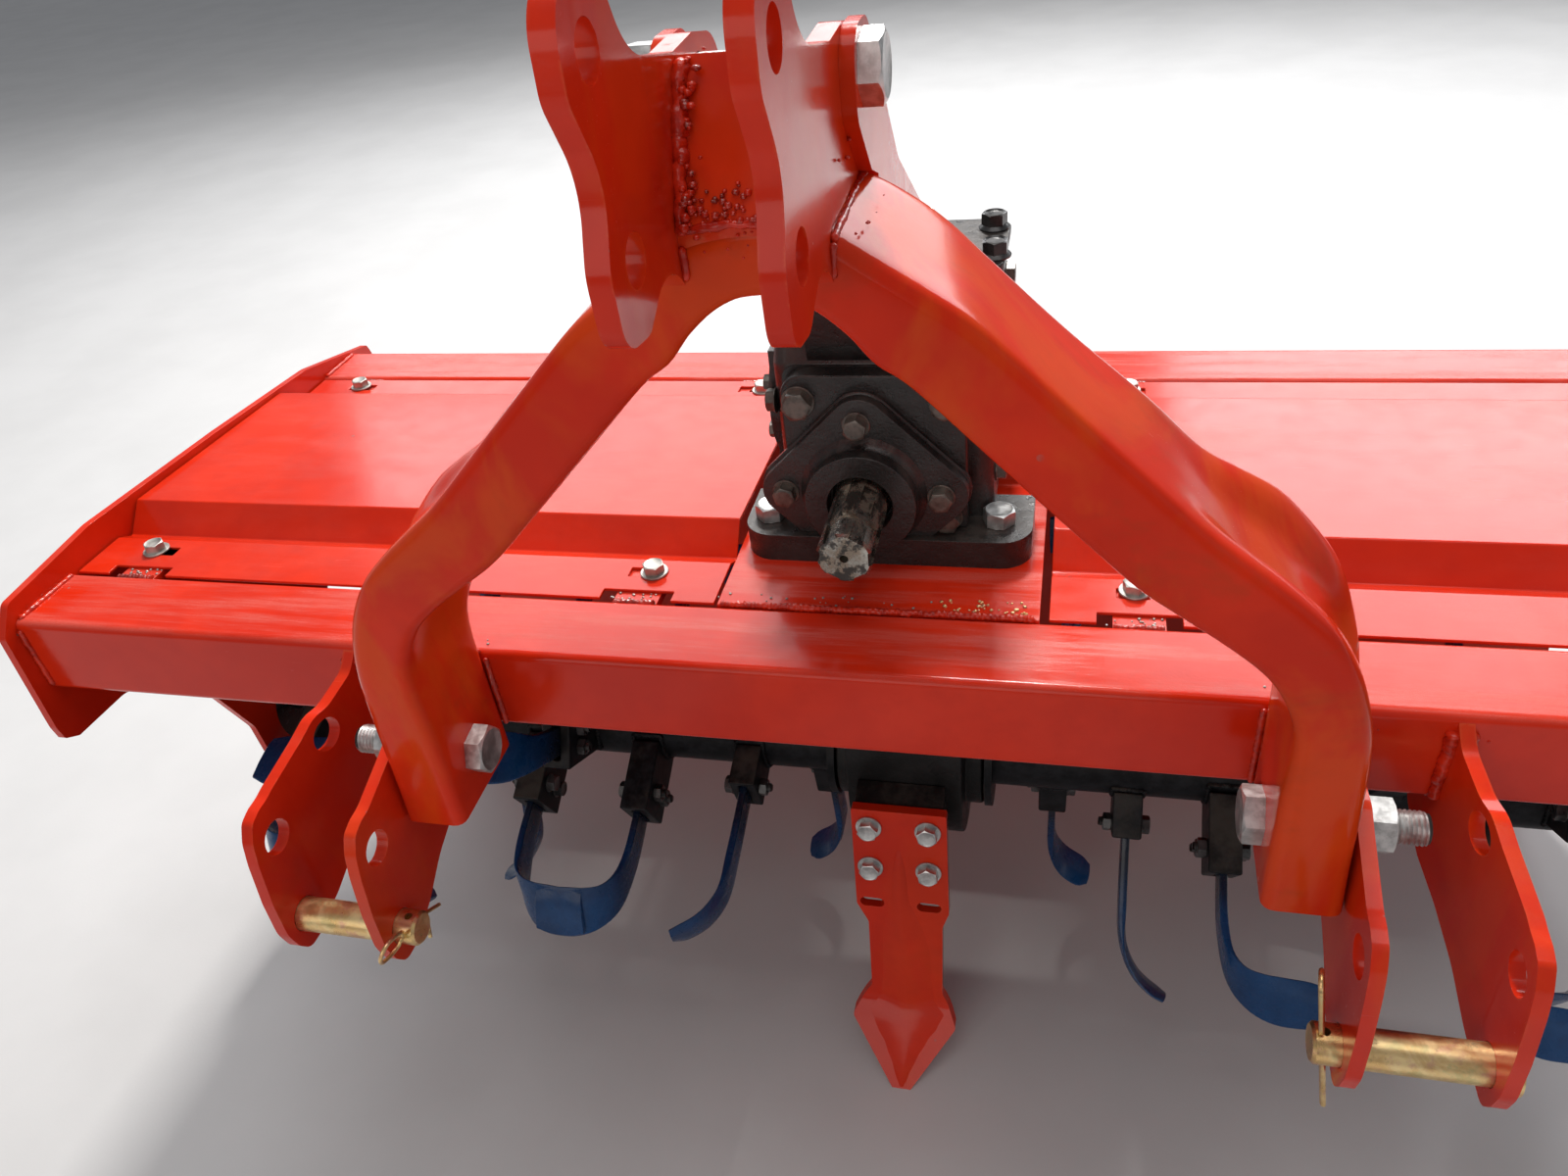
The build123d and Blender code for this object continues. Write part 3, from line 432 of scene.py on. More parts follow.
# ------------------------------------------------------------- mesh builders
class Mesh:
    """Collects faces in the machine's millimetres; one object may have several materials."""

    def __init__(self):
        self.v, self.f, self.m, self.shade = [], [], [], []

    def add(self, verts, faces, mat=0, shade=0.0):
        o = len(self.v)
        self.v += [tuple(v) for v in verts]
        self.shade += shade if isinstance(shade, list) else [shade] * len(verts)
        for f in faces:
            self.f.append(tuple(i + o for i in f))
            self.m.append(mat)
        return self

    def grid(self, rows, mat=0, close_u=False, close_v=False, cap0=False, cap1=False, shade=None):
        """rows: lists of points of equal length. close_u joins the last row to the first, close_v each row's ends."""
        nu, nv = len(rows), len(rows[0])
        verts = [p for r in rows for p in r]
        faces = []
        for i in range(nu if close_u else nu - 1):
            a, b = i * nv, ((i + 1) % nu) * nv
            for j in range(nv if close_v else nv - 1):
                k = (j + 1) % nv
                faces.append((a + j, a + k, b + k, b + j))
        if cap0:
            faces.append(tuple(range(nv - 1, -1, -1)))
        if cap1:
            faces.append(tuple((nu - 1) * nv + j for j in range(nv)))
        return self.add(verts, faces, mat, shade if shade is not None else 0.0)

    def object(self, name, mats, body, slot, angle=35.0, replaces=(), weighted=False):
        me = bpy.data.meshes.new(name)
        me.from_pydata([M(*p) for p in self.v], [], self.f)
        for k in mats:
            me.materials.append(MAT[k])
        for p, m in zip(me.polygons, self.m):
            p.material_index = m
        att = me.attributes.new("shade", "FLOAT", "POINT")
        att.data.foreach_set("value", self.shade)
        bm = bmesh.new()
        bm.from_mesh(me)
        bmesh.ops.recalc_face_normals(bm, faces=bm.faces)
        bm.to_mesh(me)
        bm.free()
        for p in me.polygons:
            p.use_smooth = True
        me.set_sharp_from_angle(angle=math.radians(angle))
        o = bpy.data.objects.new(name, me)
        SCENE.collection.objects.link(o)
        if weighted:
            w = o.modifiers.new("w", "WEIGHTED_NORMAL")
            w.keep_sharp = True
        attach(o, body)
        if replaces:
            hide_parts(*replaces)
        return o


def axes(d):
    d = Vector(d).normalized()
    a = Vector((0, 0, 1)) if abs(d.z) < 0.9 else Vector((0, 1, 0))
    e1 = a.cross(d).normalized()
    return e1, d.cross(e1).normalized(), d


def ring(o, d, r, n, z=0.0, turn=0.0):
    e1, e2, e3 = axes(d)
    o = Vector(o)
    out = []
    for k in range(n):
        a = 2 * math.pi * k / n + turn
        rr = r(a) if callable(r) else r
        zz = z(a) if callable(z) else z
        out.append(o + e1 * (rr * math.cos(a)) + e2 * (rr * math.sin(a)) + e3 * zz)
    return out


def lathe(mesh, o, d, profile, n=32, mat=0, cap0=True, cap1=True, turn=0.0, shade=None):
    """profile: (height along d, radius) rows."""
    rows = [ring(o, d, r, n, z, turn) for z, r in profile]
    return mesh.grid(rows, mat, close_v=True, cap0=cap0, cap1=cap1, shade=shade)


def hexr(af, a):
    return (af / 2) / math.cos((a % (math.pi / 3)) - math.pi / 6)


def hex_head(mesh, o, d, af, h, mat=0, turn=0.0, both=False, bore=None, rim=0.94, dish=0.0):
    """A hexagon head (or nut) standing on o, along d, with the turned chamfer that real ones have."""
    n = 48
    rc = af / 2 * rim
    s = math.tan(math.radians(28))
    top = lambda a: h - max(0.0, hexr(af, a) - rc) * s
    low = (lambda a: max(0.0, hexr(af, a) - rc) * s) if both else (lambda a: 0.0)
    rows = []
    if both:
        rows.append(ring(o, d, rc * 0.995, n, 0.0, turn))
    rows.append(ring(o, d, lambda a: hexr(af, a - turn), n, lambda a: low(a - turn), turn))
    rows.append(ring(o, d, lambda a: hexr(af, a - turn), n, lambda a: top(a - turn), turn))
    rows.append(ring(o, d, rc * 0.995, n, h, turn))
    if bore:
        rows.append(ring(o, d, bore + 0.9, n, h, turn))
        rows.append(ring(o, d, bore, n, h - 1.0, turn))
        mesh.grid(rows, mat, close_v=True, cap1=True)
    else:
        rows.append(ring(o, d, rc * 0.80, n, h - dish, turn))
        mesh.grid(rows, mat, close_v=True, cap1=True)
    return mesh


def washer(mesh, o, d, r, t, mat=0):
    return lathe(mesh, o, d, [(0, r - 0.4), (0.3, r), (t - 0.5, r), (t, r - 0.5)], 40, mat)


def thread(mesh, o, d, r, length, pitch, mat=0, n=28):
    """A real helix, ended with a chamfer."""
    e1, e2, e3 = axes(d)
    o = Vector(o)
    rows = []
    steps = int(length / pitch * 4)
    prof = (0.0, -0.35, -0.62, -0.35)
    for k in range(steps + 1):
        row = []
        for j in range(n + 1):
            a = 2 * math.pi * j / n
            z = (k / 4.0 + j / n - 1.0) * pitch
            z = max(0.0, min(length, z))
            rr = r + prof[k % 4] * pitch * 0.55
            if z > length - 1.6:
                rr = min(rr, r - (z - (length - 1.6)) * 0.9)
            row.append(o + e1 * (rr * math.cos(a)) + e2 * (rr * math.sin(a)) + e3 * z)
        rows.append(row)
    mesh.grid(rows, mat)
    end = ring(o, d, r - 1.6, n, length)
    mesh.add(end, [tuple(range(n))], mat)
    return mesh


def bolt(mesh, o, d, af, h, wr=0.0, wt=0.0, mat=0, turn=0.0, dish=0.0):
    o = Vector(o)
    d = Vector(d).normalized()
    if wr:
        washer(mesh, o, d, wr, wt, mat)
        o = o + d * wt
    return hex_head(mesh, o, d, af, h, mat, turn, dish=dish)


def nut(mesh, o, d, af, h, r, stick, pitch=1.5, mat=0, turn=0.0):
    o = Vector(o)
    d = Vector(d).normalized()
    hex_head(mesh, o, d, af, h, mat, turn, both=True, bore=r)
    return thread(mesh, o + d * (h - 1.5), d, r, stick + 1.5, pitch, mat)


def catmull(pts, per):
    """A smooth curve through the points (any number of coordinates)."""
    pts = [tuple(map(float, p)) for p in pts]
    out = []
    n = len(pts)
    for i in range(n - 1):
        p0, p1, p2, p3 = pts[max(i - 1, 0)], pts[i], pts[i + 1], pts[min(i + 2, n - 1)]
        for k in range(per):
            t = k / per
            out.append(tuple(0.5 * (2 * b + (c - a) * t + (2 * a - 5 * b + 4 * c - d) * t * t + (3 * b - a - 3 * c + d) * t ** 3)
                             for a, b, c, d in zip(p0, p1, p2, p3)))
    out.append(pts[-1])
    return out


def tube(mesh, path, r, n=12, mat=0, closed=False, taper=None, rough=0.0, seed=0):
    """A round bar along points; r may be a list; taper is not used."""
    P = [Vector(p) for p in path]
    cnt = len(P)
    up = None
    rows = []
    for i, p in enumerate(P):
        a = P[i - 1] if (i > 0 or closed) else P[i]
        b = P[(i + 1) % cnt] if (i < cnt - 1 or closed) else P[i]
        t = (b - a).normalized()
        if up is None:
            up = axes(t)[0]
        up = (up - t * up.dot(t)).normalized()
        side = t.cross(up)
        rr = r[i] if isinstance(r, (list, tuple)) else r
        row = []
        for j in range(n):
            ang = 2 * math.pi * j / n
            q = rr
            if rough:
                q *= 1 + rough * noise.noise(p * 0.35 + Vector((seed, j * 0.9, 0)))
            row.append(p + up * (q * math.cos(ang)) + side * (q * math.sin(ang)))
        rows.append(row)
    return mesh.grid(rows, mat, close_u=closed, close_v=True, cap0=not closed, cap1=not closed)


def bead(mesh, path, r, mat=0, step=2.2, ripple=0.22, rough=0.5, seed=0, n=9):
    """A weld bead: overlapping ripples with a little unevenness."""
    P = [Vector(p) for p in path]
    L = [0.0]
    for a, b in zip(P, P[1:]):
        L.append(L[-1] + (b - a).length)
    pts, rad = [], []
    s, i, k = 0.0, 0, 0
    while s <= L[-1]:
        while i < len(L) - 2 and L[i + 1] < s:
            i += 1
        f = (s - L[i]) / max(1e-9, L[i + 1] - L[i])
        p = P[i].lerp(P[i + 1], f)
        w = noise.noise(Vector((s * 0.05, seed * 3.1, 0.0)))
        pts.append(p + Vector((noise.noise(p * 0.11), noise.noise(p * 0.11 + Vector((5, 0, 0))), noise.noise(p * 0.11 + Vector((0, 5, 0))))) * (r * 0.28 * rough))
        rad.append(r * (1 + ripple * (0.5 - abs((k % 4) - 1.5) / 1.5) + 0.35 * rough * w))
        s += step / 4
        k += 1
    rad[0] *= 0.5
    rad[-1] *= 0.5
    return tube(mesh, pts, rad, n, mat, rough=0.25 * rough, seed=seed)


def blob(mesh, p, r, mat=0, squash=1.0, seed=0):
    """A weld spatter ball."""
    rows = []
    n = 8
    for i in range(1, 6):
        a = math.pi * i / 6
        rows.append([Vector(p) + Vector((math.sin(a) * math.cos(b), math.sin(a) * math.sin(b), math.cos(a) * squash)) * r *
                     (1 + 0.25 * noise.noise(Vector((i, j, seed)) * 0.7)) for j in range(n) for b in (2 * math.pi * j / n,)])
    return mesh.grid(rows, mat, close_v=True, cap0=True, cap1=True)


def soften(node, mat, width=1.2, seg=2, angle=28.0, body=None, name=None):
    """A copy of a CAD node with its edges rounded; it stands for the node."""
    src = N[node]
    me = src.data.copy()
    me.materials.clear()
    me.materials.append(MAT[mat])
    bm = bmesh.new()
    bm.from_mesh(me)
    bmesh.ops.remove_doubles(bm, verts=bm.verts, dist=2e-6)
    bmesh.ops.dissolve_limit(bm, angle_limit=math.radians(0.6), verts=bm.verts, edges=bm.edges)
    bm.to_mesh(me)
    bm.free()
    o = bpy.data.objects.new(name or ("v_" + node), me)
    SCENE.collection.objects.link(o)
    b = o.modifiers.new("b", "BEVEL")
    b.width = width / 1000.0
    b.segments = seg
    b.limit_method = "ANGLE"
    b.angle_limit = math.radians(angle)
    b.use_clamp_overlap = True
    b.miter_outer = "MITER_ARC"
    b.harden_normals = False
    w = o.modifiers.new("w", "WEIGHTED_NORMAL")
    w.keep_sharp = False
    w.weight = 60
    for p in me.polygons:
        p.use_smooth = True
    for k in ("custom_normal",):
        if k in me.attributes:
            me.attributes.remove(me.attributes[k])
    dg = bpy.context.evaluated_depsgraph_get()
    ev = o.evaluated_get(dg)
    new = bpy.data.meshes.new_from_object(ev, depsgraph=dg)
    o.modifiers.clear()
    o.data = new
    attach(o, body or src["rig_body"])
    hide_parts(node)
    return o

# ------------------------------------------------------------------ the mast
HX = 5.0
# corners of the bent tube along one half, from the top down to the foot, (x, z):
# front outer, front inner, rear outer, rear inner, and how far the rear swells back
MAST_ROWS = [
    ((5, 382), (5, 342), (5, 383), (5, 338), 0), ((24, 380), (19, 340), (28, 381), (21, 336), 0),
    ((44, 373), (34, 332), (50, 376), (36, 328), 0), ((64, 360), (49, 319), (72, 364), (52, 312), 0),
    ((90, 343), (62, 303), (93, 348), (68, 298), 0), ((117, 324), (81, 289), (120, 321), (83, 284), 0),
    ((158, 284), (121, 248), (160, 282), (122, 246), 0), ((205, 237), (168, 200), (207, 240), (168, 201), 0),
    ((240, 203), (204, 164), (240, 207), (204, 167), 1), ((264, 183), (232, 143), (264, 190), (230, 143), 6),
    ((290, 161), (258, 124), (288, 172), (254, 122), 14), ((313, 138), (281, 104), (311, 148), (276, 98), 18),
    ((330, 110), (294, 84), (332, 120), (291, 76), 14), ((341, 80), (302, 62), (345, 88), (300, 54), 6),
    ((347, 48), (303, 38), (353, 55), (303, 32), 1), ((350, 5), (302, 5), (356, 10), (304, 0), 0),
    ((352, -45), (302, -45), (356, -45), (304, -45), 0), ((355, -97), (303, -97), (356, -97), (304, -97), 0),
]


def smooth(a, b, t):
    t = max(0.0, min(1.0, (t - a) / (b - a)))
    return t * t * (3 - 2 * t)


def mast_section(row, u, r=9.0, inset=0.0, z_add=0.0, front=-100.0, plain=False, left=False):
    (fo, fi, ro, ri, fl) = row
    fl = min(fl, 16.0) * (0.5 if left else 1.0)
    A, B = Vector((fo[0], front, fo[1])), Vector((ro[0], fl - 0.4, ro[1]))
    C, D = Vector((ri[0], fl - 0.4, ri[1])), Vector((fi[0], front, fi[1]))
    cor = [A, B, C, D]
    if inset:
        mid = (A + B + C + D) / 4
        cor = [c + (mid - c).normalized() * inset * 1.41 for c in cor]
    pts, tags = [], []
    K = 5
    for i in range(4):
        P, Q, S = cor[i], cor[i - 1], cor[(i + 1) % 4]
        a = P + (Q - P).normalized() * r
        b = P + (S - P).normalized() * r
        for k in range(K):
            t = k / (K - 1)
            w = 0.82
            pts.append((a * ((1 - t) ** 2) + P * (2 * t * (1 - t) * w) + b * (t * t)) / ((1 - t) ** 2 + 2 * t * (1 - t) * w + t * t))
            tags.append((-1, 0.0))
        n = cor[(i + 1) % 4]
        c0, c1 = b, n + (P - n).normalized() * r
        m = 12 if i in (0, 2) else 4
        for k in range(1, m):
            t = k / m
            pts.append(c0.lerp(c1, t))
            tags.append((i, t))
    if plain:
        return pts
    # dents: walls 0 = outer (front to rear), 2 = inner (rear to front)
    out = []
    cen = (A + B + C + D) / 4
    oin = ((C + D) / 2 - (A + B) / 2).normalized()
    for p, (wl, t) in zip(pts, tags):
        d = Vector((0, 0, 0))
        if wl == 0:
            k = smooth(7.2, 9.6, u) * (1 - smooth(12.2, 14.6, u))
            d = oin * ((7.0 if left else 11.0) * k * smooth(0.06, 0.26, t) * (1 - smooth(0.62, 0.98, t)))
        elif wl == 2:
            f = 1 - t
            k = smooth(9.6, 11.4, u) * (1 - smooth(12.0, 14.2, u))
            d = -oin * ((13.5 if left else 10.5) * k * math.sin(math.pi * max(0.0, min(1.0, (f - 0.04) / 0.92))) ** 0.8)
        elif wl == 3:
            d = Vector((0, 1.6 * smooth(9.0, 11.0, u) * (1 - smooth(12.0, 14.0, u)) * math.sin(math.pi * t), 0))
        out.append(p + d)
    return out


def flat_row(row):
    return (*row[0], *row[1], *row[2], *row[3], row[4])


def build_mast():
    per = 5
    fine = catmull([flat_row(r) for r in MAST_ROWS], per)
    rows = [((f[0], f[1]), (f[2], f[3]), (f[4], f[5]), (f[6], f[7]), f[8]) for f in fine]
    secs = [mast_section(r, i / per) for i, r in enumerate(rows)]
    foot = rows[-1]
    lo = [Vector((p.x, p.y, p.z)) for p in mast_section(foot, 17, 4.5, 5.0, plain=True)]
    hi = [p + Vector((0, 0, 80)) for p in lo]
    half = secs + [lo, hi]
    left = [mast_section(r, i / per, left=True) for i, r in enumerate(rows)] + [lo, hi]
    other = [[Vector((2 * HX - p.x, p.y, p.z)) for p in s] for s in left]
    mesh = Mesh()
    mesh.grid([s for s in reversed(other[1:])] + half, 0, close_v=True, cap0=True, cap1=True)
    return mesh.object("mast", ["red_mast"], "frame", "red_paint", 50.0, ["mast_tube"])


build_mast()


def on_mast(u, wall, t):
    """A point on the mast's skin: u = row number, wall as in mast_section, t along it (right half)."""
    i = min(int(u), len(MAST_ROWS) - 2)
    f = u - i
    a, b = flat_row(MAST_ROWS[i]), flat_row(MAST_ROWS[i + 1])
    v = [x + (y - x) * f for x, y in zip(a, b)]
    A, B = Vector((v[0], -100, v[1])), Vector((v[4], v[8], v[5]))
    D, C = Vector((v[2], -100, v[3])), Vector((v[6], v[8], v[7]))
    q = [(A, B), (B, C), (C, D), (D, A)][wall]
    return q[0].lerp(q[1], t)


# -------------------------------------------------- plates, panels and castings
for side in ("left", "right"):
    soften("end_plate_" + side, "red", 1.3)
    soften("lower_hitch_plates_" + side, "red_plate", 1.6)
    soften("top_hitch_plate_" + side, "red_plate", 2.0, 3)
    soften("hood_panel_" + side, "red_panel", 0.8)
    soften("rod_bracket_" + side, "red", 1.2)
    soften("blade_holders_" + side, "holder", 2.4)
    soften("rotor_bearing_" + side, "cast", 1.5)
soften("mast_web", "red_plate", 1.2)
soften("rear_stays", "red_plate", 1.5)
soften("centre_deck_plate", "red_beam", 1.2)
soften("front_beam", "red_beam", 0.8)
soften("rear_beam", "red_beam", 0.8)
soften("board_hinge_lugs", "red", 1.0)
soften("board_rod_lugs", "red", 1.2)
soften("levelling_board", "red_panel", 0.8)
soften("gearbox_housing", "cast", 2.6, 3, 40)
soften("gearbox_front_cover", "cast", 2.0, 3, 40)
soften("input_bearing_cap", "cast", 2.2, 3, 40)
soften("gearbox_side_cover", "cast", 1.8, 3, 40)
soften("gearbox_top_cover", "cast", 1.6, 3, 40)
soften("drop_case", "case", 2.5, 3, 40)
soften("ripper_bracket", "case", 1.5)
soften("ripper", "red_ripper", 1.6)
for n, k in (("rotor_tube_left", "rotor"), ("rotor_tube_right", "rotor"), ("rotor_shaft", "shaft"), ("input_shaft", "shaft"),
             ("hitch_pin_left", "gold"), ("hitch_pin_right", "gold"), ("board_hinge_rod", "zinc"), ("board_rod_pins", "zinc"),
             ("spring_rod_left", "zinc_dull"), ("spring_rod_right", "zinc_dull")):
    for s in N[n].material_slots:
        s.material = MAT[k]
    if not N[n].material_slots:
        N[n].data.materials.append(MAT[k])

# ------------------------------------------------------------------ fasteners
FB_Y, FB_Z = -52.0, -56.0
for side, s in (("right", 1), ("left", -1)):
    m = Mesh()
    a = HX + s * 299.0          # inner face of the leg
    b = HX + s * 361.0          # inner face of the clevis plate's far side
    rnd = random.Random(7 if s > 0 else 11)
    turn_h, turn_n = (0.35, 0.15) if s > 0 else (0.12, 0.4)
    lathe(m, (a, FB_Y, FB_Z), (s, 0, 0), [(0, 12), (62, 12)], 28, 0)
    hex_head(m, (a, FB_Y, FB_Z), (-s, 0, 0), 36, 15.5, 0, turn_h, dish=0.8)
    lathe(m, (a, FB_Y, FB_Z), (-s, 0, 0), [(0, 17.2), (0.9, 17.0)], 32)
    nut(m, (b, FB_Y, FB_Z), (s, 0, 0), 36, 19, 12, 22, 3.0, 0, turn_n)
    m.object("mast_bolt_" + side, ["zinc"], "frame", "bright_zinc", 30, ["mast_foot_bolt_" + side])

m = Mesh()
UB = (-25.0, 434.0)
lathe(m, (-53, *UB), (1, 0, 0), [(0, 12), (106, 12)], 28, 0)
hex_head(m, (53, *UB), (1, 0, 0), 33, 12.5, 0, 0.2, dish=0.8)
nut(m, (-53, *UB), (-1, 0, 0), 36, 18, 12, 5, 3.0, 0, 0.1)
m.object("stay_bolt_top", ["zinc"], "frame", "bright_zinc", 30, ["stay_bolt_upper"])
m = Mesh()
LB = (170.0, 282.0)
lathe(m, (-53, *LB), (1, 0, 0), [(0, 8), (106, 8)], 28, 0)
washer(m, (53, *LB), (1, 0, 0), 15, 2.5)
hex_head(m, (55.5, *LB), (1, 0, 0), 24, 7.5, 0, 0.2)
washer(m, (-53, *LB), (-1, 0, 0), 15, 2.5)
nut(m, (-55.5, *LB), (-1, 0, 0), 24, 12, 8, 4.4, 2.0, 0, 0.5)
m.object("stay_bolt_low", ["zinc"], "frame", "bright_zinc", 30, ["stay_bolt_lower"])

# hood panel bolts: (x, y, top of the flange), turned at random
PANEL_BOLTS = [(-704, 122, -1), (-185, 122, -1), (219, 125, -1), (698, 122, -1),
               (-701, 508, -19), (-179, 503, -19), (222, 506, -19), (698, 506, -19)]
m = Mesh()
for i, (x, y, z) in enumerate(PANEL_BOLTS):
    washer(m, (x, y, z), (0, 0, 1), 12.5, 2.0)
    hex_head(m, (x, y, z + 2), (0, 0, 1), 17, 8.0, 0, 0.3 + i * 0.77, dish=0.6)
    lathe(m, (x, y, z - 26), (0, 0, 1), [(0, 4.4), (0.8, 5), (26, 5)], 20)
    hex_head(m, (x, y, z - 11.2), (0, 0, -1), 17, 8.0, 0, 0.1 + i * 0.37, both=True)
m.object("panel_bolts", ["zinc_dull"], "frame", "bright_zinc", 30)

m = Mesh()
for i, (x, y) in enumerate([(-88, 177), (109, 178), (-88, 344), (108, 344)]):
    lathe(m, (x, y, 26), (0, 0, 1), [(0, 11.6), (0.8, 11.4)], 32)
    hex_head(m, (x, y, 26.6), (0, 0, 1), 24, 13.0, 0, 0.25 + i * 0.6, dish=0.8)
    lathe(m, (x, y, -30), (0, 0, 1), [(0, 7.2), (1, 8), (30, 8)], 20)
    hex_head(m, (x, y, -8), (0, 0, -1), 26, 13.0, 0, 0.5 + i * 0.3, both=True)
m.object("gearbox_bolts", ["zinc"], "frame", "bright_zinc", 30)

m = Mesh()
for i, (x, z) in enumerate([(-2, 130), (-66, 66), (64, 65), (0, 2)]):
    if z > 10:
        bolt(m, (x, 154, z), (0, -1, 0), 17, 9.5, 11.5, 1.6, 0, 0.35 + i * 0.4)
for i, (x, z) in enumerate([(-51, 143), (67, 143), (67, 37), (-52, 37)]):
    bolt(m, (x, 168, z), (0, -1, 0), 22 if i == 0 else 19, 10, 14 if i == 0 else 13, 1.8, 0, 0.1 + i * 0.5)
for i, (y, z, x) in enumerate([(196, 130, -76), (196, 48, -76), (318, 130, -76), (318, 48, -76)]):
    bolt(m, (x, y, z), (-1, 0, 0), 17, 7.5, 11, 1.4, 0, 0.2 + i)
for i in range(6):
    a = math.radians(30 + 60 * i)
    bolt(m, (-86, 262 + 45 * math.cos(a), 110 + 45 * math.sin(a)), (-1, 0, 0), 13, 7, 0, 0, 0, 0.3 * i)
for i, (y, z) in enumerate([(210, 60), (210, 190), (312, 60), (312, 190)]):
    bolt(m, (104, y, z), (1, 0, 0), 17, 7.5, 11, 1.4, 0, 0.4 + i)
for i, (x, y) in enumerate([(-62, 214), (-62, 288), (14, 290)]):
    bolt(m, (x, y, 240), (0, 0, 1), 17, 8, 11, 1.4, 0, 0.2 + i)
m.object("casting_bolts", ["bolt"], "frame", "gearbox_black", 30)

# black flanged plugs on the top cover
m = Mesh()
for x, y, t in ((97, 283, 0.2), (102, 222, 0.5)):
    lathe(m, (x, y, 240), (0, 0, 1), [(0, 12.2), (1.2, 12.4), (2.6, 11.0), (3.6, 9.8)], 36, 0)
    hex_head(m, (x, y, 243.4), (0, 0, 1), 18, 9.6, 0, t, dish=1.4)
m.object("top_plugs", ["plug"], "frame", "breather_black", 30, ["breather"])

# rotor bearing bolts and their nuts
m = Mesh()
for s in (1, -1):
    for k in range(4):
        a = math.radians(45 + 90 * k)
        y, z = 280 + 70 * math.cos(a), -334 + 70 * math.sin(a)
        bolt(m, (s * 787, y, z), (s, 0, 0), 19, 8.5, 12.0, 2.0, 0, 0.5 * k)
        hex_head(m, (s * 767, y, z), (-s, 0, 0), 19, 10, 0, 0.3 * k, both=True)
m.object("bearing_bolts", ["zinc_dull"], "frame", "bright_zinc", 30)

# ripper bolts
RIP_X, RIP_T = 10.0, 10.0
HEADP, NECKP, TIPP = (150.0, -313.0), (112.0, -575.0), (48.0, -652.0)
rl = math.hypot(HEADP[0] - NECKP[0], HEADP[1] - NECKP[1])
RD = Vector((0, (NECKP[0] - HEADP[0]) / rl, (NECKP[1] - HEADP[1]) / rl))      # down the shank
RN = Vector((0, RD.z, -RD.y))                                              # out of its front face
if RN.y > 0:
    RN = -RN


def rip(x, d, h):
    return Vector((RIP_X + x, HEADP[0], HEADP[1])) + RD * d + RN * h


m = Mesh()
for i, (dx, d) in enumerate([(-30, 22), (31, 22), (-30, 75), (31, 75)]):
    bolt(m, rip(dx, d, 0), RN, 19, 9, 13.5, 2.2, 0, 0.2 + 0.5 * i, dish=0.8)
m.object("ripper_bolts", ["zinc"], "frame", "bright_zinc", 30)

# forged ridge down the ripper's front
RIDGE = [(50, 3, 0.2), (66, 7, 2.0), (90, 10, 3.4), (118, 12, 4.2), (140, 20, 5.4), (165, 27, 6.4), (200, 31, 7.0), (238, 32, 7.4), (262, 35, 7.4)]
m = Mesh()
rows = []
for d, w, h in catmull(RIDGE, 4):
    off = 5.0 * smooth(120, 200, d)
    rows.append([rip(x + off, d, y) for x, y in ((-w, -1.5), (-w * 0.55, h * 0.42), (-w * 0.12, h * 0.94), (w * 0.12, h * 0.94), (w * 0.55, h * 0.42), (w, -1.5))])
pl = math.hypot(NECKP[0] - TIPP[0], NECKP[1] - TIPP[1])
PD = Vector((0, (TIPP[0] - NECKP[0]) / pl, (TIPP[1] - NECKP[1]) / pl))
PN = Vector((0, PD.z, -PD.y))
if PN.y > 0:
    PN = -PN
for d, w, h in ((6, 42, 6.0), (14, 50, 5.6), (30, 42, 5.2), (50, 28, 4.4), (72, 16, 3.0), (92, 7, 1.6), (pl - 2, 2.5, 0.4)):
    base = Vector((RIP_X + 5.0 - 2.0 * d / pl, NECKP[0], NECKP[1])) + PD * d
    rows.append([base + Vector((x, 0, 0)) + PN * y for x, y in ((-w, -1.5), (-w * 0.55, h * 0.42), (-w * 0.12, h * 0.94), (w * 0.12, h * 0.94), (w * 0.55, h * 0.42), (w, -1.5))])
m.grid(rows, 0)
m.object("ripper_ridge", ["red_ripper"], "frame", "red_paint", 60)

# --------------------------------------------------------------------- blades
STATIONS = {
    "right": [(163, -12, 1, "slim"), (163, 168, 1, "broad"), (240, 36, 1, "slim"), (240, 216, -1, "broad"),
              (334, 53, 1, "broad"), (334, 233, -1, "slim"), (402, 150, -1, "broad"), (402, 330, 1, "slim"),
              (480, 144, 1, "slim"), (480, 324, -1, "broad"), (562, 56, 1, "broad"), (562, 236, -1, "slim"),
              (640, 118, -1, "slim"), (640, 298, -1, "broad"), (716, 20, -1, "broad"), (716, 200, -1, "slim")],
    "left": [(91, -12, 1, "slim"), (91, 168, 1, "slim"), (169, 70, 1, "slim"), (169, 250, 1, "broad"),
             (290, 62, 1, "broad"), (290, 242, -1, "slim"), (420, 62, -1, "broad"), (420, 242, 1, "slim"),
             (368, 118, 1, "broad"), (368, 298, -1, "slim"), (480, 10, 1, "slim"), (480, 190, -1, "broad"),
             (556, 112, 1, "broad"), (556, 292, -1, "slim"), (636, 30, -1, "slim"), (636, 210, -1, "broad"),
             (716, 75, -1, "broad"), (716, 255, -1, "slim")],
}
STRIP = {
    "broad": [(0, 62, 0, 0, 17), (0, 110, 0, 0, 17), (0, 150, 2, -4, 18), (2, 176, 4, -10, 20), (7, 198, 8, -22, 24), (18, 215, 11, -34, 27),
              (34, 226, 14, -44, 29), (52, 231, 16, -49, 30), (72, 232, 17, -51, 29), (92, 232, 18, -52, 27)],
    "slim": [(0, 62, 0, 0, 16), (0, 110, 0, 0, 16), (0, 160, 2, 0, 17), (1, 190, 4, 0, 19), (6, 211, 6, 0, 21), (16, 229, 8, 0, 22),
             (30, 242, 10, 0, 22), (46, 251, 12, 0, 20)],
}
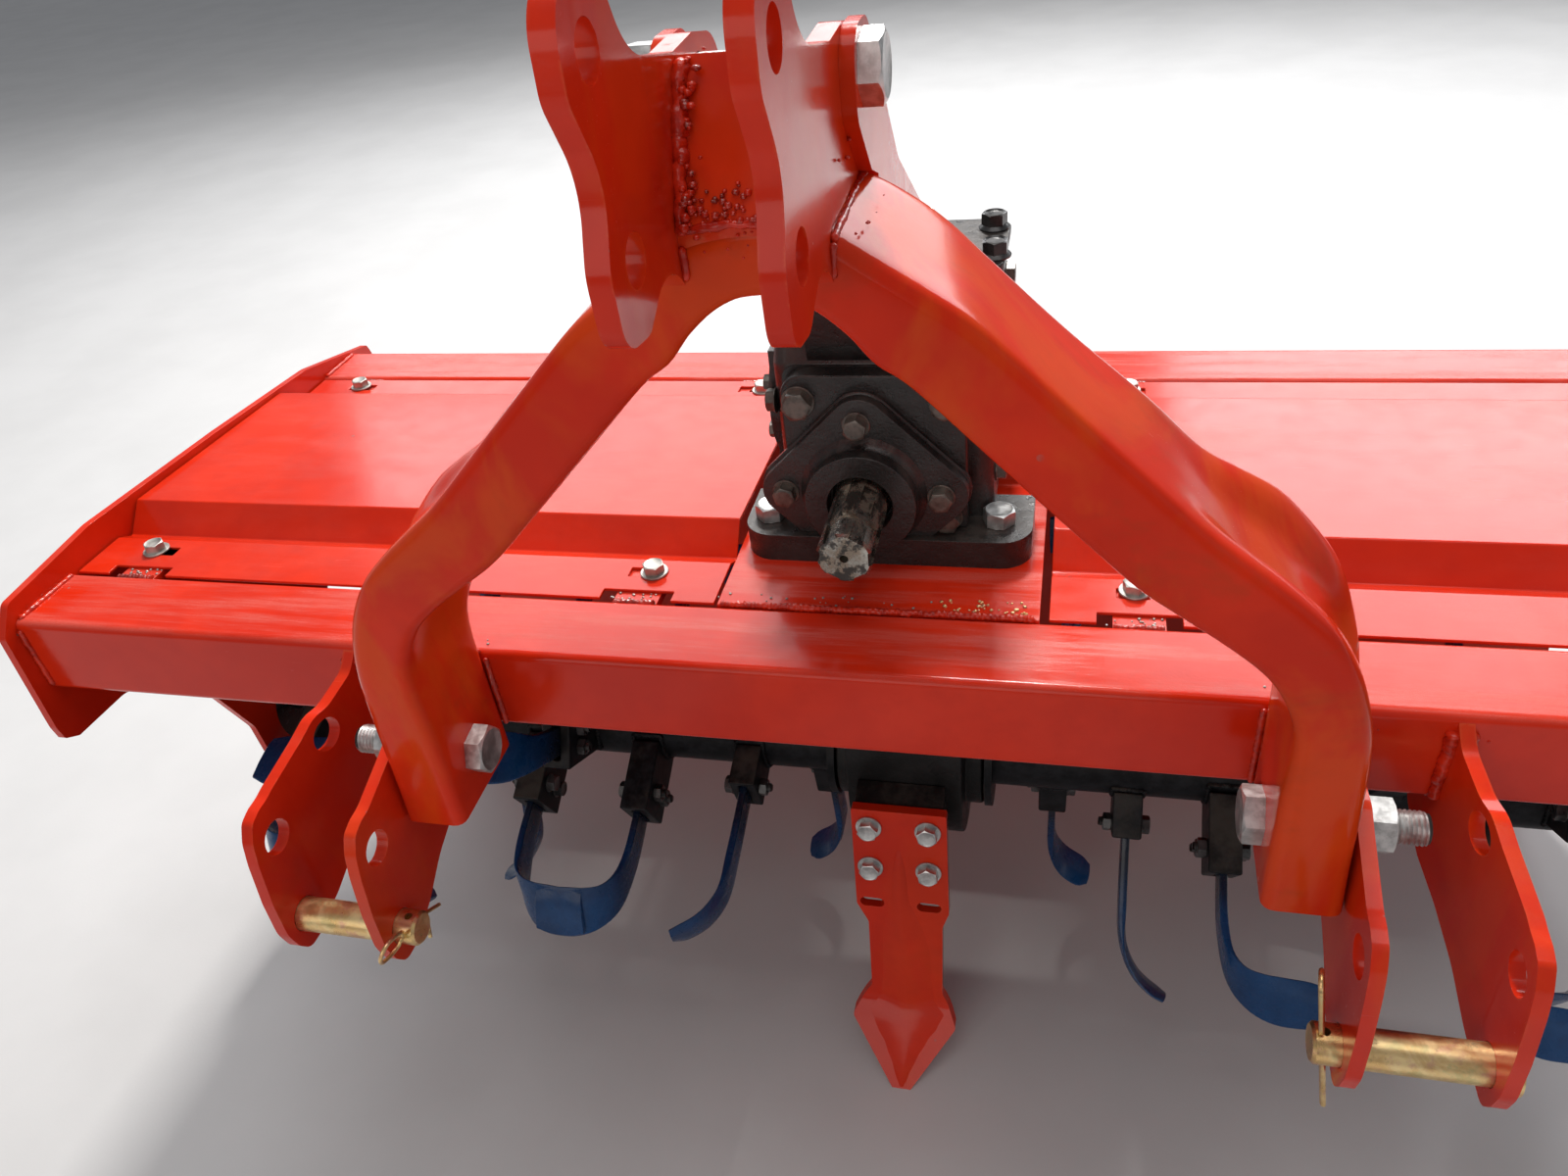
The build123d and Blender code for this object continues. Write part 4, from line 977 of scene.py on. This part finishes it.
HOLD = {"broad": (16, 31, 116), "slim": (15, 28, 84)}
ROTOR = (280.0, -334.0)


def placed(p, d, ang, out, side):
    a = math.radians(ang)
    x, y, z = p[0] * out, p[1], p[2]
    y, z = y * math.cos(a) + z * math.sin(a), -y * math.sin(a) + z * math.cos(a)
    x += d
    return Vector((x if side == "right" else -x, y + ROTOR[0], z + ROTOR[1]))


def blade_rows(kind):
    """Rings of a forged blade: full thickness in the middle, drawn out to a thin edge on the cutting part."""
    rows = catmull(STRIP[kind], 4)
    mid = [Vector((x, -t, -r)) for x, r, t, tw, hw in rows]
    rings, shade = [], []
    n = len(rows)
    for k, (x, r, t, tw, hw) in enumerate(rows):
        run = (mid[min(k + 1, n - 1)] - mid[max(k - 1, 0)]).normalized()
        wide = Vector((0, -math.cos(math.radians(tw)), -math.sin(math.radians(tw))))
        thin = run.cross(wide).normalized()
        wide = thin.cross(run).normalized()
        f = k / (n - 1)
        ed = 4.0 - 2.9 * smooth(0.28, 0.55, f)          # half thickness at the leading edge
        bk = 4.0 - 1.2 * smooth(0.45, 0.8, f)
        w = hw * (1.0 - 0.30 * smooth(0.90, 1.0, f) * (1 if kind == "slim" else 0.4))
        sec = [(1.0, ed * 0.35), (0.97, ed * 0.8), (0.90, ed), (0.62, 3.6), (0.2, 4.0), (-0.3, 4.0), (-0.80, bk), (-0.95, bk * 0.8), (-1.0, bk * 0.35)]
        ring = [mid[k] + wide * (a * w) + thin * b for a, b in sec] + [mid[k] + wide * (a * w) - thin * b for a, b in reversed(sec)]
        rings.append(ring)
        shade.append(1.0 - smooth(118 if kind == "broad" else 105, 168, r))
    # round off the tip
    last, prev = rings[-1], rings[-2]
    c = sum(last, Vector((0, 0, 0))) / len(last)
    run = (c - sum(prev, Vector((0, 0, 0))) / len(prev)).normalized()
    rings.append([c + (p - c) * 0.86 + run * 0.6 for p in last])
    shade.append(0.0)
    return rings, shade


BLADE = {k: blade_rows(k) for k in STRIP}
for side in ("left", "right"):
    sgn = 1 if side == "right" else -1
    m, nuts, wl = Mesh(), Mesh(), Mesh()
    for i, (d, ang, out, kind) in enumerate(STATIONS[side]):
        rings, shade = BLADE[kind]
        rows = [[placed(p, d, ang, out, side) for p in r] for r in rings]
        m.grid(rows, 0, close_v=True, cap0=True, cap1=True, shade=[s for s, r in zip(shade, rings) for _ in r])
        ht, hw, ro = HOLD[kind]
        rb = 90.0 if kind == "broad" else 73.0
        for yy in ((-11.0, 11.0) if kind == "broad" else (0.0,)):
            a = placed((ht, yy, -rb), d, ang, out, side)
            b = placed((-ht, yy, -rb), d, ang, out, side)
            dr = (a - b).normalized()
            washer(nuts, a, dr, 10.5, 1.6)
            hex_head(nuts, a + dr * 1.6, dr, 17, 8, 0, ang * 0.02, dish=0.5)
            nut(nuts, b, -dr, 17, 9, 5, 5, 1.6, 0, ang * 0.03)
        q = math.sqrt(42.0 ** 2 - hw ** 2)
        path = []
        for k in range(9):
            y = -hw + 2 * hw * k / 8
            path.append((ht + 0.5, y, -math.sqrt(max(0.0, 42.6 ** 2 - y * y))))
        for k in range(9):
            y = hw - 2 * hw * k / 8
            path.append((-ht - 0.5, y, -math.sqrt(max(0.0, 42.6 ** 2 - y * y))))
        path.append(path[0])
        bead(wl, [placed(p, d, ang, out, side) for p in path], 3.0, 0, step=4.0, seed=i, n=6)
    m.object("blade_set_" + side, ["blade"], "rotor", "blade_blue", 32, ["blades_" + side])
    nuts.object("blade_bolts_" + side, ["blade_bolt"], "rotor", "rotor_black", 30)
    wl.object("holder_welds_" + side, ["rotor"], "rotor", "rotor_black", 60)

# -------------------------------------------------------------------- springs
LUGP, EYEP = (672.0, -320.0), (705.0, -105.0)
SL = math.hypot(EYEP[0] - LUGP[0], EYEP[1] - LUGP[1])
SD = Vector((0, (EYEP[0] - LUGP[0]) / SL, (EYEP[1] - LUGP[1]) / SL))
SE = Vector((1, 0, 0))
SF = SD.cross(SE).normalized()
for side, s in (("right", 1), ("left", -1)):
    m = Mesh()
    o = Vector((s * 440.0, *LUGP))
    turns, wire, R = 9.0, 2.7, 15.6
    pts = []
    cnt = int(turns * 28)
    for k in range(cnt + 1):
        t = k / cnt
        a = 2 * math.pi * turns * t
        lead = (smooth(0.0, 0.16, t) * 0.5 + smooth(0.84, 1.0, t) * 0.5)
        z = 48 + (162 - 48) * (0.07 * smooth(0, 0.11, t) + 0.86 * max(0.0, min(1.0, (t - 0.09) / 0.82)) + 0.07 * smooth(0.89, 1, t))
        pts.append(o + SD * z + SE * (R * math.cos(a)) + SF * (R * math.sin(a)))
    tube(m, pts, wire, 10, 0)
    m.object("coil_spring_" + side, ["rotor"], "spring_rod_" + side, "rotor_black", 60, ["pressure_spring_" + side])

# ------------------------------------------------------ welds and weld spatter
def spatter(mesh, rnd, path, count, spread, r0=0.6, r1=1.7, mat=0, normal=(0, 0, 0)):
    """Small balls of weld metal lying beside a bead."""
    P = [Vector(p) for p in path]
    n = Vector(normal)
    for k in range(count):
        i = rnd.randrange(len(P) - 1)
        p = P[i].lerp(P[i + 1], rnd.random())
        off = Vector([rnd.uniform(-spread, spread) for _ in range(3)])
        off -= n * off.dot(n)
        blob(mesh, p + off, rnd.uniform(r0, r1), mat, rnd.uniform(0.6, 1.0), k)


rnd = random.Random(4)
m = Mesh()
# web to the top plates, heavy and uneven, and along its foot
WF = [(-101.5, 377.0), (-92.0, 397.0), (-80.5, 419.0), (-70.0, 438.0), (-62.5, 452.0)]
for s in (1, -1):
    path = [(s * 30.0, y - 0.4, z + 0.2) for y, z in WF]
    bead(m, path, 4.6, 3, step=7.0, ripple=0.14, rough=1.6, seed=3 + s, n=12)
    line = [Vector((s * 28.5, y - 2.6, z + 1.4)) for y, z in WF]
    for k in range(46):
        i = rnd.randrange(len(line) - 1)
        f = rnd.random()
        if 0.28 < (i + f) / 4 < 0.72 and rnd.random() < 0.5:
            continue
        p = line[i].lerp(line[i + 1], f) + Vector((-s * abs(rnd.gauss(0, 3.4)), rnd.uniform(-1.2, 0.8), rnd.uniform(-2, 2)))
        blob(m, p, rnd.uniform(1.0, 3.0), 3 if rnd.random() < 0.6 else 0, rnd.uniform(0.6, 1.0), k)
    spatter(m, rnd, [(s * 22.0, y - 1.0, z + 0.6) for y, z in WF], 12, 6.0, 0.4, 1.2, 3)
# burnt balls at the web's foot
for k in range(60):
    x = rnd.uniform(-27, 27)
    f = abs(rnd.gauss(0, 0.10))
    blob(m, (x, -100.5 + 38 * f, 383.0 + 71 * f + rnd.uniform(-1, 1)), rnd.uniform(0.8, 2.3), 0 if rnd.random() < 0.6 else 3, rnd.uniform(0.6, 1.0), k)
bead(m, [(-30, -99.6, 379.0), (-12, -99.6, 381.2), (14, -99.6, 381.6), (30, -99.6, 378.4)], 2.6, 3, step=7.0, ripple=0.12, rough=1.2, seed=12)
spatter(m, rnd, [(-26, -101.0, 372), (26, -101.0, 372)], 12, 6.0, 0.4, 1.2, 3)
bead(m, [(-31, -57, 450.2), (31, -57, 450.2)], 1.8, 3, step=5.0, rough=0.6, seed=14)
# top plates standing on the tube, outside and inside
for s, xo, zo, xi, zi in ((1, 46.0, (372.0, 373.5, 376.0), 31.6, (378.2, 379.6, 380.6)),
                          (-1, -46.0, (365.5, 368.0, 371.5), -31.6, (374.2, 376.2, 378.2))):
    path = [(xo, -98.5, zo[0]), (xo, -50, zo[1]), (xo, -5, zo[2])]
    bead(m, path, 2.3, 3, step=6.0, ripple=0.15, rough=1.1, seed=20 + s, n=10)
    spatter(m, rnd, [(xo + s * 9, -88, zo[0] - 8), (xo + s * 9, -12, zo[2] - 7)], 16, 7.0, 0.4, 1.2, 3)
    spatter(m, rnd, [(xo + s * 0.2, -80, zo[1] + 22), (xo + s * 0.2, -20, zo[1] + 30)], 7, 14.0, 0.7, 1.5, 3, (1, 0, 0))
    bead(m, [(xi, -40, zi[1]), (xi, -4, zi[2])], 2.6, 3, step=5.0, rough=0.9, seed=24 + s)
    bead(m, [(xo, -100.6, zo[0] - 1), (xo - s * 0.4, -100.6, 352)], 2.2, 3, step=6.0, ripple=0.15, rough=1.1, seed=28 + s)
    bead(m, [(xi, -100.6, zi[0] - 3), (xi, -100.6, 352)], 2.2, 3, step=6.0, ripple=0.15, rough=0.9, seed=32 + s)
m.object("welds_top", ["weld", "zinc_dull", "gold", "weld_soft"], "frame", "red_paint", 70)

m = Mesh()
for s in (1, -1):
    # clevis plates on the beam's face and underside
    for dx, r in ((367.6, 3.6), (424.6, 4.4), (437.2, 4.0)):
        x = HX + s * (dx - HX)
        bead(m, [(x, -2.0, -13), (x + 0.5, -2.2, -32), (x - 0.5, -2.0, -54), (x, -2.2, -77)], r, 3, step=6.0, ripple=0.12, rough=0.8, seed=40 + dx * s, n=10)
        bead(m, [(x, 6, -82), (x, 58, -82)], r * 0.8, 3, step=4.6, rough=0.8, seed=50 + dx * s)
        spatter(m, rnd, [(x + s * 6, -0.3, -16), (x + s * 6, -0.3, -70)], 7, 5.0, 0.4, 1.1, 3, (0, 1, 0))
    # the mast's foot on the beam
    x = HX + s * 297.2
    bead(m, [(x + s * 1.0, -1.2, -4), (x + s * 1.0, -1.4, -40), (x + s * 1.0, -1.2, -77)], 2.6, 3, step=6.0, ripple=0.12, rough=0.7, seed=60 + s, n=10)
    a, b = HX + s * 303.0, HX + s * 352.0
    bead(m, [(a, 1.6, 0.4), ((a + b) / 2, 1.5, 0.6), (b, 1.6, 0.4)], 3.0, 3, step=6.0, ripple=0.15, rough=0.9, seed=64 + s, n=10)
    spatter(m, rnd, [(a, 10, 0.3), (b, 10, 0.3)], 16, 8.0, 0.5, 1.4, 1, (0, 0, 1))
    # end plate on both beams
    x = s * 764.6
    bead(m, [(x, 6, 0.2), (x, 76, 0.2)], 2.8, 3, step=6.0, ripple=0.15, rough=0.8, seed=68 + s)
    bead(m, [(x, -0.4, -8), (x, -0.4, -74)], 2.8, 3, step=6.0, ripple=0.15, rough=0.8, seed=72 + s)
    bead(m, [(x, 533, -17.8), (x, 600, -17.8)], 2.8, 3, step=6.0, ripple=0.15, rough=0.8, seed=76 + s)
# deck plate on the beams, with golden spatter on its front right part
bead(m, [(-114, 81.0, 0.2), (20, 80.5, 0.6), (144, 81.0, 0.2)], 2.9, 3, step=4.6, ripple=0.3, rough=1.3, seed=80, n=10)
spatter(m, rnd, [(70, 92, 0.3), (140, 92, 0.3)], 40, 9.0, 0.6, 1.8, 2, (0, 0, 1))
spatter(m, rnd, [(-110, 92, 0.3), (60, 92, 0.3)], 26, 10.0, 0.5, 1.3, 1, (0, 0, 1))
bead(m, [(-114, 527.2, -17.2), (144, 527.2, -17.2)], 3.2, 0, step=4.6, rough=1.0, seed=84)
for i, x in enumerate((-698.0, -191.0, 222.0, 698.0)):
    bead(m, [(x - 19, 81.0, -3.2), (x + 19, 81.0, -3.2)], 3.0, 0, step=4.0, ripple=0.3, rough=1.3, seed=90 + i)
    spatter(m, rnd, [(x - 18, 88, -3.7), (x + 18, 88, -3.7)], 22, 7.0, 0.5, 1.5, 1, (0, 0, 1))
    bead(m, [(x - 18, 527.0, -21.2), (x + 18, 527.0, -21.2)], 2.8, 0, step=4.0, rough=1.0, seed=96 + i)
m.object("welds_frame", ["weld", "zinc_dull", "gold", "weld_soft"], "frame", "red_paint", 70)

# hinge lugs and rod brackets on the rear beam, rod lugs on the board
m = Mesh()
for i, x in enumerate((-740.0, -420.0, -60.0, 60.0, 420.0, 740.0)):
    for s in (1, -1):
        bead(m, [(x + s * 6.4, 607.2, -39), (x + s * 6.4, 607.2, -85)], 2.6, 0, step=4.0, rough=1.0, seed=100 + i * 2 + s)
for s in (1, -1):
    for dx in (-35.6, 35.6):
        bead(m, [(s * 440 + dx, 607.4, -27), (s * 440 + dx, 607.4, -47)], 2.6, 0, step=4.0, rough=1.0, seed=120 + dx + s)
m.object("welds_rear", ["weld"], "frame", "red_paint", 70)
m = Mesh()
for s in (1, -1):
    for dx in (-21.4, 21.4):
        bead(m, [(s * 440 + dx, 650.2, -274), (s * 440 + dx, 650.4, -352)], 2.6, 0, step=4.0, rough=1.0, seed=130 + dx + s)
m.object("welds_board", ["weld"], "levelling_board", "red_paint", 70)

# -------------------------------------------------- split pins in the hitch pins
def split_pin(mesh, c, d, e, loop, width, tails, wire=1.5):
    """c: middle of the hole, d: towards the eye, e: across the eye."""
    c, d, e = Vector(c), Vector(d).normalized(), Vector(e).normalized()
    pts = [c - d * 15 + e * 0.9]
    pts += [c + d * 15 + e * 1.2, c + d * 19 + e * (width * 0.42), c + d * (loop * 0.62) + e * (width * 0.62)]
    for k in range(7):
        a = math.pi * k / 6
        pts.append(c + d * (loop - width * 0.55 + width * 0.55 * math.sin(a)) + e * (width * 0.62 * math.cos(a)))
    pts += [c + d * (loop * 0.62) - e * (width * 0.62), c + d * 19 - e * (width * 0.42), c + d * 15 - e * 1.2, c - d * 15 - e * 0.9]
    line = [Vector(p) for p in catmull([tuple(p) for p in pts], 4)]
    first = [Vector(p) for p in catmull([tuple(tails[0][1]), tuple(tails[0][0]), tuple(pts[0])], 5)][:-1]
    last = [Vector(p) for p in catmull([tuple(pts[-1]), tuple(tails[1][0]), tuple(tails[1][1])], 5)][1:]
    return tube(mesh, first + line + last, wire, 10)


m = Mesh()
PY, PZ = -149.0, -168.0
c = Vector((346, PY, PZ))
d = Vector((-0.16, 0.0, 0.987)).normalized()
split_pin(m, c, d, (0.15, 0.97, 0.0), 74, 10, ((c - d * 26 + Vector((0, 2, 0)), c - d * 74 + Vector((0, 1, 0))), (c - d * 26 + Vector((0, -2, 0)), c - d * 70 + Vector((0, -2.5, 0)))), 1.9)
c = Vector((-336, PY, PZ))
d = Vector((0, -0.918, 0.397)).normalized()
split_pin(m, c, d, (0.35, 0.35, 0.85), 46, 16, ((c - d * 22 + Vector((0, 0, 2)), c + Vector((0, 36, -17))), (c - d * 18 + Vector((0, 0, -4)), c + Vector((0, 12, -29)))), 1.7)
m.object("split_pins", ["gold"], "frame", "yellow_zinc", 60)

# ------------------------------------------- input cap: gasket flange, flare, oil seal
def diamond(h, r, n=8, floor_z=26.0):
    """Rounded diamond around the input shaft, cut off at the top of the gearbox foot."""
    out = []
    c = h - r * 1.41421
    for q in range(4):
        base = math.radians(90 * q - 45)
        cx, cz = c * math.cos(math.radians(90 * q)), c * math.sin(math.radians(90 * q))
        for k in range(n + 1):
            a = base + math.radians(90) * k / n
            out.append((cx + r * math.cos(a), cz + r * math.sin(a)))
    pts = [(x, 66.0 + z) for x, z in out]
    cut = []
    for i, p in enumerate(pts):
        q = pts[(i + 1) % len(pts)]
        if p[1] >= floor_z:
            cut.append(p)
        if (p[1] - floor_z) * (q[1] - floor_z) < 0:
            t = (floor_z - p[1]) / (q[1] - p[1])
            cut.append((p[0] + (q[0] - p[0]) * t, floor_z))
    return cut


m = Mesh()
flat = diamond(99.0, 26.5)
rows = []
for y, k in ((168.2, 1.0), (164.6, 1.0), (163.6, 0.985)):
    rows.append([(x * k, y, 66 + (z - 66) * k if z > 26.01 else 26.0) for x, z in flat])
m.grid(rows, 0, close_v=True, cap0=True, cap1=True)
lathe(m, (0, 154.5, 66), (0, -1, 0), [(0, 53.5), (1.6, 51.5), (3.4, 49.0), (5.4, 47.2), (8.0, 46.3), (8.0, 44.0)], 48, 0, cap0=False, cap1=False)
m.object("input_cap_flange", ["cast"], "frame", "gearbox_black", 40)
m = Mesh()
lathe(m, (0, 160, 66), (0, -1, 0), [(0, 22.6), (0, 26.9), (10, 26.9), (10, 25.2), (8.6, 24.6), (7.4, 23.0), (7.4, 22.4), (0, 22.6)], 48, 0, cap0=False, cap1=False)
m.object("input_seal", ["gasket"], "frame", "breather_black", 40)
# thin gasket between the front cover and the body, and under the top cover
m = Mesh()
def slab(x0, x1, y0, y1, z0, z1, r, axis, over=0.8):
    def rr(a0, a1, b0, b1):
        out = []
        for ca, cb, st in ((a1 - r, b1 - r, 0), (a0 + r, b1 - r, 90), (a0 + r, b0 + r, 180), (a1 - r, b0 + r, 270)):
            for k in range(6):
                t = math.radians(st + 90 * k / 5)
                out.append((ca + r * math.cos(t), cb + r * math.sin(t)))
        return out
    if axis == "y":
        o = rr(x0 - over, x1 + over, z0, z1 + over)
        m.grid([[(a, y, b) for a, b in o] for y in (y0, y1)], 0, close_v=True, cap0=True, cap1=True)
    else:
        o = rr(x0 - over, x1 + over, y0 - over, y1 + over)
        m.grid([[(a, b, z) for a, b in o] for z in (z0, z1)], 0, close_v=True, cap0=True, cap1=True)
slab(-66, 84, 184.6, 186.2, 27, 166, 12, "y")
slab(-76, 104, 204, 326, 230.8, 232.3, 14, "z", 0.6)
m.object("gaskets", ["gasket"], "frame", "gearbox_black", 40)

# ------------------------------------------------------------ light and floor
SCENE.view_settings.view_transform = "Standard"
SCENE.view_settings.look = "None"
SCENE.view_settings.exposure = 0.0
world = bpy.data.worlds.new("studio")
SCENE.world = world
world.use_nodes = True
bg = world.node_tree.nodes["Background"]
bg.inputs[0].default_value = (0.93, 0.95, 1.0, 1)
bg.inputs[1].default_value = 0.27

me = bpy.data.meshes.new("floor")
S = 40.0
me.from_pydata([(-S, -S, 0), (S, -S, 0), (S, S, 0), (-S, S, 0)], [], [(0, 1, 2, 3)])
me.materials.append(studio_floor("studio_floor"))
floor = bpy.data.objects.new("floor", me)
SCENE.collection.objects.link(floor)


def area(name, at, to, size, power, color=(1, 1, 1)):
    l = bpy.data.lights.new(name, "AREA")
    l.shape = "RECTANGLE"
    l.size, l.size_y = size
    l.energy = power
    l.color = color
    o = bpy.data.objects.new(name, l)
    SCENE.collection.objects.link(o)
    at, to = Vector(at), Vector(to)
    o.location = at
    o.rotation_euler = (to - at).to_track_quat("-Z", "Y").to_euler()
    o.visible_camera = False
    return o


area("key", (-0.25, 2.9, 4.6), (0, 0, 0.6), (0.7, 0.7), 240, (1.0, 0.97, 0.93))
area("back_right", (1.6, 4.2, 3.3), (0.3, 0, 0.6), (2.2, 2.2), 100, (0.97, 0.98, 1.0))
area("back_left", (-2.0, 4.2, 3.3), (-0.3, 0, 0.6), (3.0, 2.2), 80, (0.97, 0.98, 1.0))
area("top", (0.2, -0.6, 4.6), (0, 0.3, 0.6), (3.0, 2.0), 45, (1.0, 0.98, 0.96))
area("front", (-0.9, -3.6, 1.9), (0, 0, 0.6), (3.0, 2.0), 30, (1.0, 0.94, 0.88))
area("side", (3.4, -1.2, 2.0), (0, 0, 0.6), (2.0, 2.0), 3)
